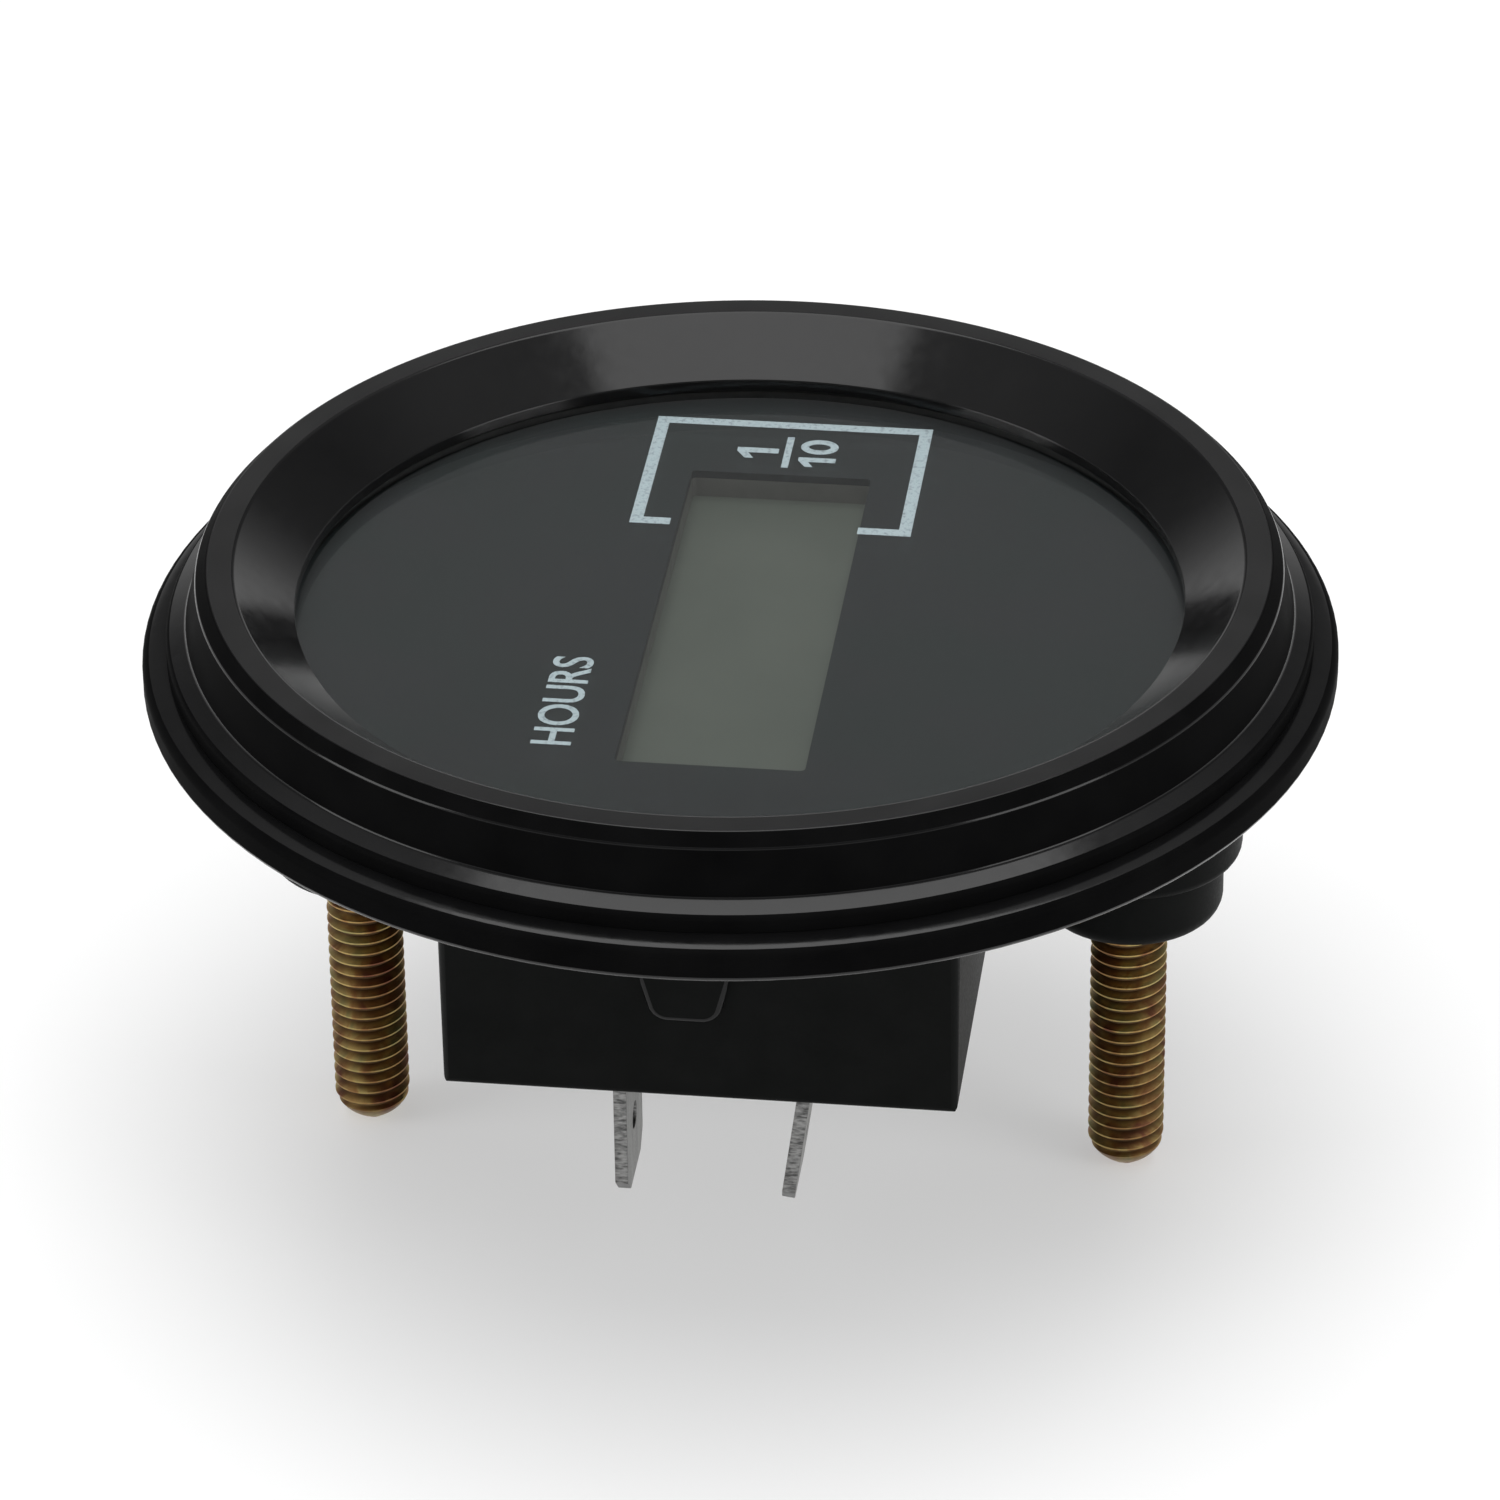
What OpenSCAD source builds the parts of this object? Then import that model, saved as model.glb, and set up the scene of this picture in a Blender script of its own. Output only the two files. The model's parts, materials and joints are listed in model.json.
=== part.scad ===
// Panel-mounted round hour meter with a liquid-crystal counter.
// X is the reading direction of the dial, Y is up on the dial and Z points out of it.
// The origin is the centre of the flange's rear face, which lies against the panel.

/* [Flange] */
// Widest diameter of the case flange, which covers the panel hole
flange_d = 72; // [70:0.5:80]
// Thickness of the flange under the bezel
flange_t = 2.5; // [1.8:0.1:3]
// Fall of the flange's front face from the bezel's foot to the rim
flange_fall = 0.5; // [0.2:0.05:0.8]
// Round on the flange's rear corner
flange_rear_round = 0.6; // [0.3:0.05:0.8]
// Round on the flange's front corner
flange_front_round = 0.6; // [0.2:0.05:0.8]

/* [Bezel] */
// Width of the flange that shows outside the bezel's foot
flange_step = 1.5; // [0.8:0.1:2]
// Height of the foot's straight side
foot_h = 1; // [0.8:0.1:2]
// Round on the foot's upper corner
foot_round = 0.35; // [0.2:0.05:0.5]
// Width of the sloped ledge between the foot and the wall
ledge_w = 1.2; // [0.8:0.1:1.6]
// Rise of the sloped ledge
ledge_rise = 0.5; // [0.2:0.05:0.8]
// Amount by which the wall leans in from the ledge to the crest's bevel
wall_lean = 0.7; // [0.4:0.05:1]
// Width of the bevel between the wall and the crest
bevel_w = 0.7; // [0.4:0.05:1]
// Height of that bevel
bevel_h = 0.75; // [0.4:0.05:1.2]
// Round on the bevel's outer edge
bevel_round = 0.3; // [0.1:0.05:0.5]
// Height of the crest above the flange
bezel_h = 5.15; // [4.8:0.05:7]
// Width of the crest
crest_w = 1.6; // [1.2:0.1:2.4]
// Round on the crest's outer edge
crest_outer_round = 0.25; // [0.1:0.05:0.5]
// Round on the crest's inner edge
crest_inner_round = 0.4; // [0.2:0.05:0.6]
// Width of the polished cone that runs from the crest down to the lens
cone_w = 3.6; // [2.8:0.1:4]
// Thickness of the lip that holds the lens
lip_t = 0.65; // [0.4:0.05:1]
// Wall between the bevel's outer edge and the groove behind it
groove_wall = 1.25; // [1:0.05:1.5]
// Width of the case's tongue that fits the groove
tongue_w = 1.2; // [0.8:0.1:1.4]
// Height of the tongue above the flange
tongue_h = 2; // [1.5:0.1:2.4]
// Clearance round the tongue
tongue_clear = 0.05; // [0.02:0.01:0.1]

/* [Lens and dial] */
// Thickness of the lens
lens_t = 1.5; // [1.2:0.1:2]
// Amount by which the lens reaches under the lip
lens_lap = 2.4; // [2:0.1:2.8]
// Clearance round the lens
lens_clear = 0.1; // [0.05:0.01:0.2]
// Width of the rubber seal under the lens
seal_w = 1.6; // [1.2:0.1:1.8]
// Thickness of the dial plate
dial_t = 0.5; // [0.3:0.05:0.8]
// Air gap between the dial plate and the lens
dial_gap = 0.3; // [0.1:0.05:0.4]
// Length of the display window in the dial
window_l = 34.8; // [30:0.2:35]
// Height of the display window in the dial
window_h = 11.2; // [9:0.2:11.6]
// Place of the display window above the dial's centre
window_y = -0.4; // [-1:0.1:1]

/* [Rear box] */
// Length of the rear box along the reading direction
box_l = 42.8; // [42.2:0.2:48]
// Width of the rear box
box_w = 31; // [30.2:0.2:34]
// Depth of the rear box behind the panel face
box_depth = 17.8; // [17:0.1:24]
// Wall of the rear box at the flange
box_wall = 1.6; // [1.2:0.1:1.8]
// Thickness of the rear box's floor
box_floor = 1.8; // [1.2:0.1:2.4]
// Draft of the rear box's outer walls, in degrees
box_draft = 0.5; // [0.3:0.1:1.5]
// Round on the upright corners of the rear box
box_corner_r = 1; // [0.6:0.1:1.5]
// Round on the rear edges of the rear box
box_edge_r = 0.5; // [0.3:0.05:0.9]
// Width of the moulded tongue on each end wall where it leaves the flange
rib_top_w = 8.8; // [6:0.1:10]
// Width of that tongue at its tip
rib_tip_w = 4.2; // [3.6:0.1:5]
// Distance from the panel face to the tongue's tip
rib_depth = 12; // [8:0.1:14]
// Height of the tongue above the end wall
rib_rise = 0.6; // [0.4:0.05:1]
// Round on the tongue's corners
rib_round = 1.3; // [0.6:0.1:1.5]
// Place of the tongue above the dial's centre
rib_y = 0.7; // [-3:0.1:3]
// Side of the corner posts inside the box
post_w = 3; // [2.4:0.1:3.4]

/* [Studs] */
// Distance between the two studs
stud_spacing = 47.6; // [46.6:0.1:48.2]
// Major diameter of the stud's thread
stud_d = 4.7; // [4.6:0.05:5]
// Diameter of the plain shank inside the boss
shank_d = 4.2; // [3.6:0.05:4.4]
// Distance from the panel face to the stud's tip
stud_reach = 34.5; // [28:0.1:45]
// Round on the stud's tip
stud_tip_round = 1.9; // [0.5:0.1:2.1]
// Distance across the flats of the hexagon head that is moulded into the boss
head_af = 7.94; // [7:0.02:8.4]
// Height of the hexagon head
head_h = 3; // [2.4:0.1:3.6]
// Distance from the panel face to the top of the head
head_depth = 1; // [0.6:0.1:2]
// Clearance round the plain shank and the head
stud_clear = 0.05; // [0.02:0.01:0.15]
// Diameter of each boss
boss_d = 11.4; // [11:0.1:12.4]
// Distance from the panel face to the end of the boss
boss_depth = 15.8; // [12:0.1:20]
// Round on the end of the boss
boss_round = 1.2; // [0.6:0.1:1.8]
// Diameter of the collar at the root of the boss
collar_d = 13.6; // [13:0.1:14.2]
// Distance from the panel face to the end of the collar
collar_depth = 11.6; // [8:0.1:11.8]
// Round on the end of the collar
collar_round = 0.7; // [0.3:0.05:0.9]
// Thickness of the web between each boss and the box
web_t = 2; // [1.4:0.1:3]
// Distance from the panel face to the end of the web
web_depth = 10; // [6:0.1:11]

/* [Terminals] */
// Width of a terminal tab
tab_w = 6.35; // [6:0.05:6.5]
// Thickness of a terminal tab
tab_t = 0.81; // [0.6:0.01:1]
// Length of a tab outside the box
tab_l = 9; // [7:0.1:10]
// Chamfer on the corners of a tab's tip
tab_chamfer = 1.1; // [0.5:0.1:1.6]
// Diameter of the detent hole in a tab
tab_hole_d = 1.7; // [1.4:0.05:2]
// Distance from a tab's tip to its detent hole
tab_hole_up = 4; // [3.4:0.1:4.6]
// Distance between the two tabs
tab_spacing = 11.2; // [9:0.1:12]
// Place of the pair of tabs above the dial's centre
tab_mid_y = -0.5; // [-1:0.1:1]
// Distance from the box's inner end wall to the nearer edge of the tabs
tab_inset = 0.7; // [0.6:0.05:1.2]
// Lean of the lower tab towards the upper one, in degrees
tab_lean_angle = 8; // [0:1:10]
// Amount by which the shoulder inside the box is wider than the tab, on each side
shoulder_lip = 0.4; // [0.3:0.05:0.55]
// Height of that shoulder
shoulder_h = 2; // [1.5:0.1:2.5]
// Width of the solder leg
leg_w = 1.6; // [1.2:0.1:2]
// Amount by which the solder leg stands above the board
leg_out = 0.7; // [0.4:0.1:1.2]
// Clearance round a tab in the floor
slot_clear = 0.05; // [0.02:0.01:0.1]

/* [Display] */
// Thickness of the display frame's front plate
frame_plate_t = 1.3; // [1:0.1:2]
// Wall of the display frame
frame_wall = 1.15; // [0.8:0.05:1.6]
// Clearance between the display frame and the box
frame_clear = 0.15; // [0.1:0.05:0.3]
// Thickness of each glass
glass_t = 0.7; // [0.5:0.1:1.1]
// Width of the contact ledge along each long edge of the front glass
glass_ledge = 1.9; // [1.7:0.1:2.2]
// Clearance round the display glass
glass_clear = 0.1; // [0.05:0.01:0.15]
// Thickness of the polariser and of the reflector
film_t = 0.2; // [0.15:0.05:0.3]
// Margin between the films and the edge of the glass that carries them
film_margin = 0.5; // [0.2:0.1:0.9]
// Width of an elastomer contact strip
strip_w = 1.6; // [1.2:0.1:1.6]
// Height of an elastomer contact strip
strip_h = 4; // [3.2:0.1:4.6]
// Length by which a contact strip is shorter than the glass
strip_short = 1; // [0.6:0.1:2]
// Round on the upright corners of the frame, the glass and the board
sheet_round = 0.3; // [0.1:0.05:0.5]

/* [Board] */
// Thickness of the circuit board
board_t = 1.6; // [1:0.1:1.6]
// Clearance between the circuit board and the box
board_clear = 0.3; // [0.2:0.05:0.4]
// Distance from the board's end to its screws
screw_inset_x = 4.8; // [4.6:0.1:6]
// Distance from the board's long edge to its screws
screw_inset_y = 2.5; // [2.4:0.1:3]
// Diameter of a board screw
screw_d = 2; // [1.6:0.1:2.2]
// Length of a board screw under its head
screw_l = 4.6; // [4:0.1:5]
// Diameter of a board screw's head
screw_head_d = 3.6; // [3.2:0.1:3.8]
// Height of a board screw's head
screw_head_h = 1.3; // [1:0.1:1.6]
// Clearance of a screw in the board
screw_clear = 0.2; // [0.1:0.05:0.3]
// Wall round each screw in the display frame
screw_boss_wall = 1.1; // [0.9:0.1:1.2]
// Wall left between a screw and the display glass
screw_web = 0.9; // [0.8:0.05:1.2]

/* [Chips] */
// Side of the square counter chip
chip_side = 11; // [10:0.1:11.4]
// Thickness of the counter chip
chip_t = 1.6; // [1.2:0.1:2.2]
// Number of leads on each side of the counter chip
chip_leads = 8; // [4:1:12]
// Place of the counter chip along the board
chip_x = 4; // [3.6:0.1:4.4]
// Place of the counter chip across the board
chip_y = 0; // [-0.4:0.1:0.4]
// Length of the memory chip
memory_l = 5; // [4.4:0.1:5.6]
// Width of the memory chip
memory_w = 3.9; // [3.6:0.1:4.2]
// Thickness of the memory chip
memory_t = 1.5; // [1.2:0.1:2]
// Number of leads on each side of the memory chip
memory_leads = 4; // [3:1:5]
// Distance from the board's end to the middle of the memory chip
memory_inset = 4.9; // [4.3:0.1:5]
// Place of the memory chip across the board
memory_y = 0; // [-0.6:0.1:1]
// Distance a chip's leads reach out from its body
lead_out = 1.1; // [0.9:0.05:1.2]
// Width of a chip's lead
lead_w = 0.35; // [0.25:0.05:0.5]
// Thickness of a lead
lead_t = 0.25; // [0.15:0.05:0.3]
// Length of a lead's foot on the board
lead_foot = 0.6; // [0.4:0.05:0.7]
// Round on the upright corners of a chip
chip_round = 0.2; // [0.1:0.05:0.4]
// Length of the quartz crystal's can
crystal_l = 11; // [10:0.1:11.4]
// Width of the quartz crystal's can
crystal_w = 4.6; // [4:0.1:5]
// Height of the quartz crystal's can
crystal_h = 3.4; // [2.5:0.1:4]
// Width of the rim at the can's base
crystal_rim = 0.35; // [0.2:0.05:0.5]
// Height of that rim
crystal_rim_h = 0.5; // [0.3:0.05:0.8]
// Place of the crystal along the board
crystal_x = 4.5; // [4:0.1:5]
// Place of the crystal across the board
crystal_y = 10; // [9.8:0.1:10.3]

/* [Supply parts] */
// Diameter of the capacitor's can
can_d = 6.3; // [5:0.1:6.6]
// Height of the capacitor's can
can_h = 7.4; // [5:0.1:7.6]
// Depth of the groove rolled round the can
can_groove = 0.3; // [0.2:0.05:0.4]
// Height of that groove above the board
can_groove_h = 1.4; // [1:0.1:2]
// Round on the can's end
can_round = 0.5; // [0.3:0.1:0.8]
// Place of the capacitor along the board
can_x = -7.5; // [-8:0.1:-6]
// Place of the capacitor across the board
can_y = 8.8; // [8.4:0.1:9.4]
// Diameter of the resistor's end caps
resistor_d = 3.2; // [2.6:0.1:3.4]
// Length of the resistor's body
resistor_l = 8; // [7:0.1:9]
// Length of each end cap
resistor_cap_l = 1.8; // [1.2:0.1:2.2]
// Depth of the waist between the end caps
resistor_waist = 0.25; // [0.15:0.05:0.4]
// Round on the body's ends
resistor_round = 0.4; // [0.2:0.05:0.5]
// Diameter of the resistor's wire
resistor_wire_d = 0.7; // [0.5:0.05:0.9]
// Distance between the resistor's two wires
resistor_span = 13; // [12:0.1:14]
// Air under the resistor's body
resistor_stand = 0.5; // [0.3:0.1:1.5]
// Place of the resistor along the board
resistor_x = -4.5; // [-5:0.1:-4]
// Place of the resistor across the board
resistor_y = -9.6; // [-10:0.1:-9]
// Length of the rectifier
bridge_l = 6.4; // [5.8:0.1:6.6]
// Width of the rectifier
bridge_w = 8.2; // [7.4:0.1:8.6]
// Height of the rectifier
bridge_h = 3; // [2.4:0.1:3.4]
// Width of a rectifier's lead
bridge_lead_w = 0.9; // [0.6:0.05:1.2]
// Distance between neighbouring leads of the rectifier
bridge_pitch = 5.1; // [4.6:0.1:5.4]
// Place of the rectifier along the board
bridge_x = -8.8; // [-9.2:0.1:-8]
// Place of the rectifier across the board
bridge_y = 0; // [-0.5:0.1:0.5]
// Diameter of the varistor's disc
varistor_d = 7.2; // [6:0.1:7.4]
// Thickness of the varistor's disc
varistor_t = 3.4; // [2.6:0.1:3.6]
// Round on the disc's edges
varistor_round = 1.2; // [0.6:0.1:1.25]
// Air under the varistor's disc
varistor_stand = 0.6; // [0.3:0.1:0.8]
// Diameter of the varistor's wire
varistor_wire_d = 0.6; // [0.5:0.05:0.8]
// Distance between the varistor's two wires
varistor_pitch = 5; // [4:0.1:5.2]
// Place of the varistor along the board
varistor_x = 8; // [7.6:0.1:8.2]
// Place of the varistor across the board
varistor_y = -10.3; // [-10.6:0.1:-9.8]
// Diameter of the voltage regulator's body
regulator_d = 4.6; // [4:0.1:4.8]
// Distance from the regulator's axis to its flat
regulator_flat = 1.3; // [1:0.05:1.6]
// Height of the regulator's body
regulator_h = 4.6; // [4:0.1:5]
// Length of the regulator's leads under its body
regulator_stand = 1; // [0.5:0.1:2]
// Distance between neighbouring leads of the regulator
regulator_pitch = 1.27; // [1.1:0.01:1.4]
// Width of a regulator's lead
regulator_lead_w = 0.45; // [0.35:0.05:0.55]
// Distance from the board's end to the regulator's axis
regulator_inset = 4.9; // [4.5:0.1:5]
// Place of the regulator across the board
regulator_y = -6.6; // [-6.6:0.1:-6]

/* [Hidden] */

$fn = 96;
ROUND_STEPS = 7;
CUT = 1;
JOIN = 0.5;
STRAIGHT_SPARE = 0.01;

// Radii from the flange inwards
flange_r = flange_d / 2;
foot_r = flange_r - flange_step;
root_r = foot_r - ledge_w;
bevel_r = root_r - wall_lean;
crest_r = bevel_r - bevel_w;
crest_inner_r = crest_r - crest_w;
window_r = crest_inner_r - cone_w;
lens_r = window_r + lens_lap;
pocket_r = lens_r + lens_clear;
groove_outer_r = bevel_r - groove_wall;
tongue_outer_r = groove_outer_r - tongue_clear;
tongue_inner_r = tongue_outer_r - tongue_w;
groove_inner_r = tongue_inner_r - tongue_clear;
dial_r = lens_r - seal_w - dial_gap;

// Levels from the crest down to the stud tips
crest_z = flange_t + bezel_h;
bevel_z = crest_z - bevel_h;
lens_top_z = flange_t + lens_t;
lip_z = lens_top_z + lip_t;
ledge_z = flange_t + foot_h;
root_z = ledge_z + ledge_rise;
seal_t = dial_t + dial_gap;
floor_z = flange_t - seal_t;
polariser_z = floor_z - frame_plate_t;
front_glass_z = polariser_z - film_t;
rear_glass_z = front_glass_z - glass_t;
reflector_z = rear_glass_z - glass_t;
board_z = rear_glass_z - strip_h;
board_under_z = board_z - board_t;
box_floor_z = -box_depth + box_floor;
head_seat_z = -head_depth - head_h;

// Plan sizes that neighbouring pieces share
cavity_l = box_l - 2 * box_wall;
cavity_w = box_w - 2 * box_wall;
frame_l = cavity_l - 2 * frame_clear;
frame_w = cavity_w - 2 * frame_clear;
glass_l = frame_l - 2 * (frame_wall + glass_clear);
board_l = cavity_l - 2 * board_clear;
board_w = cavity_w - 2 * board_clear;
screw_x = board_l / 2 - screw_inset_x;
screw_y = board_w / 2 - screw_inset_y;
glass_w = 2 * (screw_y - screw_d / 2 - screw_web - glass_clear - abs(window_y));
rear_glass_w = glass_w - 2 * glass_ledge;
strip_y = (glass_w - strip_w) / 2;
strip_l = glass_l - strip_short;
memory_x = board_l / 2 - memory_inset;
regulator_x = board_l / 2 - regulator_inset;
stud_r = stud_d / 2;
shank_r = shank_d / 2;
stud_y = stud_spacing / 2;
tab_x = -cavity_l / 2 + tab_inset + tab_w / 2;
shoulder_w = tab_w + 2 * shoulder_lip;
SIDES = [-1, 1];

// Geometry helpers
function unit(v) = v / norm(v);

// Points of one corner of an outline, with [x, y, radius] corners rounded by an arc
function corner_arc(corners, i) =
    let (
        count = len(corners),
        here = corners[i],
        p = [here[0], here[1]],
        before = corners[(i + count - 1) % count],
        after = corners[(i + 1) % count],
        u = unit([before[0], before[1]] - p),
        v = unit([after[0], after[1]] - p),
        half = acos(max(-1, min(1, u * v))) / 2,
        r = here[2],
        centre = p + unit(u + v) * r / sin(half),
        start = p + u * r / tan(half) - centre,
        turn = (u[0] * v[1] - u[1] * v[0]) > 0 ? -1 : 1,
        sweep = turn * (180 - 2 * half),
        first = atan2(start[1], start[0])
    )
    r == 0
        ? [p]
        : [for (k = [0:ROUND_STEPS])
            centre + r * [cos(first + sweep * k / ROUND_STEPS), sin(first + sweep * k / ROUND_STEPS)]];

module rounded_outline(corners) {
    polygon([for (i = [0:len(corners) - 1]) each corner_arc(corners, i)]);
}

module rounded_rect(l, w, r) {
    rounded_outline([
        [-l / 2, -w / 2, r],
        [l / 2, -w / 2, r],
        [l / 2, w / 2, r],
        [-l / 2, w / 2, r]
    ]);
}

// Plate with upright sides, from its lower face up
module plate(l, w, t, r = sheet_round) {
    linear_extrude(t) rounded_rect(l, w, r);
}

module ring(outer_r, inner_r, h) {
    difference() {
        cylinder(r = outer_r, h = h);
        translate([0, 0, -CUT]) cylinder(r = inner_r, h = h + 2 * CUT);
    }
}

// Outline stood up in the X-Z plane and extruded across Y
module across_y(w) {
    translate([0, w / 2, 0]) rotate([90, 0, 0]) linear_extrude(w) children();
}

// Outline stood up in the Y-Z plane and extruded along X
module along_x(l) {
    translate([-l / 2, 0, 0]) rotate([90, 0, 90]) linear_extrude(l) children();
}

module at_studs() {
    for (side = SIDES) translate([0, side * stud_y, 0]) children();
}

module at_screws() {
    for (sx = SIDES, sy = SIDES) translate([sx * screw_x, sy * screw_y, 0]) children();
}

// Where a tab passes through the floor: side is 1 for the upper tab and -1 for the lower
module at_tab(side) {
    translate([tab_x, tab_mid_y + side * tab_spacing / 2, 0]) children();
}

module at_window() {
    translate([0, window_y, 0]) children();
}

// Case: flange, drafted rear box, stud bosses and end tongues in one moulding
module flange_disc() {
    rotate_extrude() rounded_outline([
        [0, 0, 0],
        [flange_r, 0, flange_rear_round],
        [flange_r, flange_t - flange_fall, flange_front_round],
        [foot_r, flange_t, 0],
        [0, flange_t, 0]
    ]);
}

module drafted_section(size) {
    taper = box_depth * tan(box_draft);
    rounded_outline([
        [-size / 2 + taper, -box_depth, box_edge_r],
        [size / 2 - taper, -box_depth, box_edge_r],
        [size / 2, 0, 0],
        [size / 2, floor_z, 0],
        [-size / 2, floor_z, 0],
        [-size / 2, 0, 0]
    ]);
}

module box_block() {
    intersection() {
        across_y(box_w + 2 * CUT) drafted_section(box_l);
        along_x(box_l + 2 * CUT) drafted_section(box_w);
        translate([0, 0, -box_depth - CUT]) plate(box_l, box_w, box_depth + floor_z + 2 * CUT, box_corner_r);
    }
}

module end_tongues() {
    translate([0, rib_y, 0]) along_x(box_l + 2 * rib_rise) rounded_outline([
        [-rib_tip_w / 2, -rib_depth, rib_round],
        [rib_tip_w / 2, -rib_depth, rib_round],
        [rib_top_w / 2, floor_z, 0],
        [-rib_top_w / 2, floor_z, 0]
    ]);
}

module stud_boss() {
    rotate_extrude() rounded_outline([
        [0, -boss_depth, 0],
        [boss_d / 2, -boss_depth, boss_round],
        [boss_d / 2, -collar_depth, 0],
        [collar_d / 2, -collar_depth, collar_round],
        [collar_d / 2, floor_z, 0],
        [0, floor_z, 0]
    ]);
}

module boss_webs() {
    across = 2 * stud_y;
    translate([-web_t / 2, -across / 2, -web_depth]) cube([web_t, across, web_depth + floor_z]);
}

module corner_posts() {
    side = post_w + JOIN;
    reach = JOIN - side / 2;
    for (sx = SIDES, sy = SIDES)
        translate([sx * (cavity_l / 2 + reach), sy * (cavity_w / 2 + reach), box_floor_z - JOIN])
            plate(side, side, board_under_z - box_floor_z + JOIN);
}

module terminal_slots() {
    for (side = SIDES) at_tab(side)
        translate([-tab_w / 2 - slot_clear, -tab_t / 2 - slot_clear, -box_depth - CUT])
            cube([tab_w + 2 * slot_clear, tab_t + 2 * slot_clear, box_floor + 2 * CUT]);
}

module case() color([0.07, 0.07, 0.07]) {
    difference() {
        union() {
            flange_disc();
            box_block();
            end_tongues();
            at_studs() stud_boss();
            boss_webs();
        }
        translate([0, 0, floor_z]) cylinder(r = pocket_r, h = flange_t);
        translate([0, 0, box_floor_z]) plate(cavity_l, cavity_w, box_depth + flange_t);
        at_studs() {
            translate([0, 0, -boss_depth - CUT])
                cylinder(r = shank_r + stud_clear, h = boss_depth + CUT + head_seat_z);
            translate([0, 0, head_seat_z]) hexagon(head_af + 2 * stud_clear, head_h + stud_clear);
        }
        terminal_slots();
    }
    translate([0, 0, flange_t]) ring(tongue_outer_r, tongue_inner_r, tongue_h);
    corner_posts();
}

// Bezel: revolved ring with a stepped foot, a bevelled crest and a polished inner cone
module bezel() color([0.05, 0.05, 0.05]) difference() {
    rotate_extrude() rounded_outline([
        [pocket_r, flange_t, 0],
        [foot_r, flange_t, 0],
        [foot_r, ledge_z, foot_round],
        [root_r, root_z, 0],
        [bevel_r, bevel_z, bevel_round],
        [crest_r, crest_z, crest_outer_round],
        [crest_inner_r, crest_z, crest_inner_round],
        [window_r, lip_z, 0],
        [window_r, lens_top_z, 0],
        [pocket_r, lens_top_z, 0]
    ]);
    translate([0, 0, flange_t - CUT])
        ring(groove_outer_r, groove_inner_r, tongue_h + tongue_clear + CUT);
}

// Lens, seal and dial
module lens() color([0.8, 0.85, 0.85, 0.3]) {
    translate([0, 0, flange_t]) cylinder(r = lens_r, h = lens_t);
}

module lens_seal() color([0.1, 0.1, 0.1]) {
    translate([0, 0, floor_z]) ring(lens_r, lens_r - seal_w, seal_t);
}

module dial_plate() color([0.16, 0.18, 0.17]) {
    translate([0, 0, floor_z]) difference() {
        cylinder(r = dial_r, h = dial_t);
        at_window() translate([0, 0, -CUT]) plate(window_l, window_h, dial_t + 2 * CUT);
    }
}

// Studs: heads and plain shanks moulded into the bosses, with the threaded ends standing out behind
module hexagon(across_flats, h) {
    cylinder(d = across_flats / cos(30), h = h, $fn = 6);
}

module mounting_studs() color([0.62, 0.5, 0.2]) at_studs() {
    rotate_extrude() rounded_outline([
        [0, -stud_reach, 0],
        [stud_r, -stud_reach, stud_tip_round],
        [stud_r, -boss_depth, 0],
        [shank_r, -boss_depth, 0],
        [shank_r, head_seat_z, 0],
        [0, head_seat_z, 0]
    ]);
    translate([0, 0, head_seat_z]) hexagon(head_af, head_h);
}

// Terminals: stamped tabs with a shoulder on the floor and a leg soldered in the board
module tab_outline() {
    rounded_outline([
        [-tab_w / 2 + tab_chamfer, -tab_l, 0],
        [tab_w / 2 - tab_chamfer, -tab_l, 0],
        [tab_w / 2, -tab_l + tab_chamfer, 0],
        [tab_w / 2, 0, 0],
        [-tab_w / 2, 0, 0],
        [-tab_w / 2, -tab_l + tab_chamfer, 0]
    ]);
}

module outer_tab() {
    difference() {
        across_y(tab_t) tab_outline();
        translate([0, 0, -tab_l + tab_hole_up]) rotate([90, 0, 0])
            cylinder(d = tab_hole_d, h = tab_t + 2 * CUT, center = true);
    }
}

module terminal(side, lean) {
    inner_h = board_z + leg_out - box_floor_z;
    at_tab(side) {
        translate([0, 0, -box_depth]) {
            across_y(tab_t) translate([-tab_w / 2, 0]) square([tab_w, box_floor]);
            rotate([0, 90, 0]) cylinder(d = tab_t, h = tab_w, center = true);
            rotate([lean, 0, 0]) outer_tab();
        }
        translate([0, 0, box_floor_z]) across_y(tab_t) {
            translate([-shoulder_w / 2, 0]) square([shoulder_w, shoulder_h]);
            translate([-leg_w / 2, 0]) square([leg_w, inner_h]);
        }
    }
}

module terminal_upper() color([0.66, 0.66, 0.64]) terminal(1, 0);

module terminal_lower() color([0.66, 0.66, 0.64]) terminal(-1, tab_lean_angle);

// Display: frame, films, glass and contact strips
module frame_pocket(grow) {
    at_window() rounded_rect(glass_l + 2 * glass_clear + 2 * grow, glass_w + 2 * glass_clear + 2 * grow,
        sheet_round);
}

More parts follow.
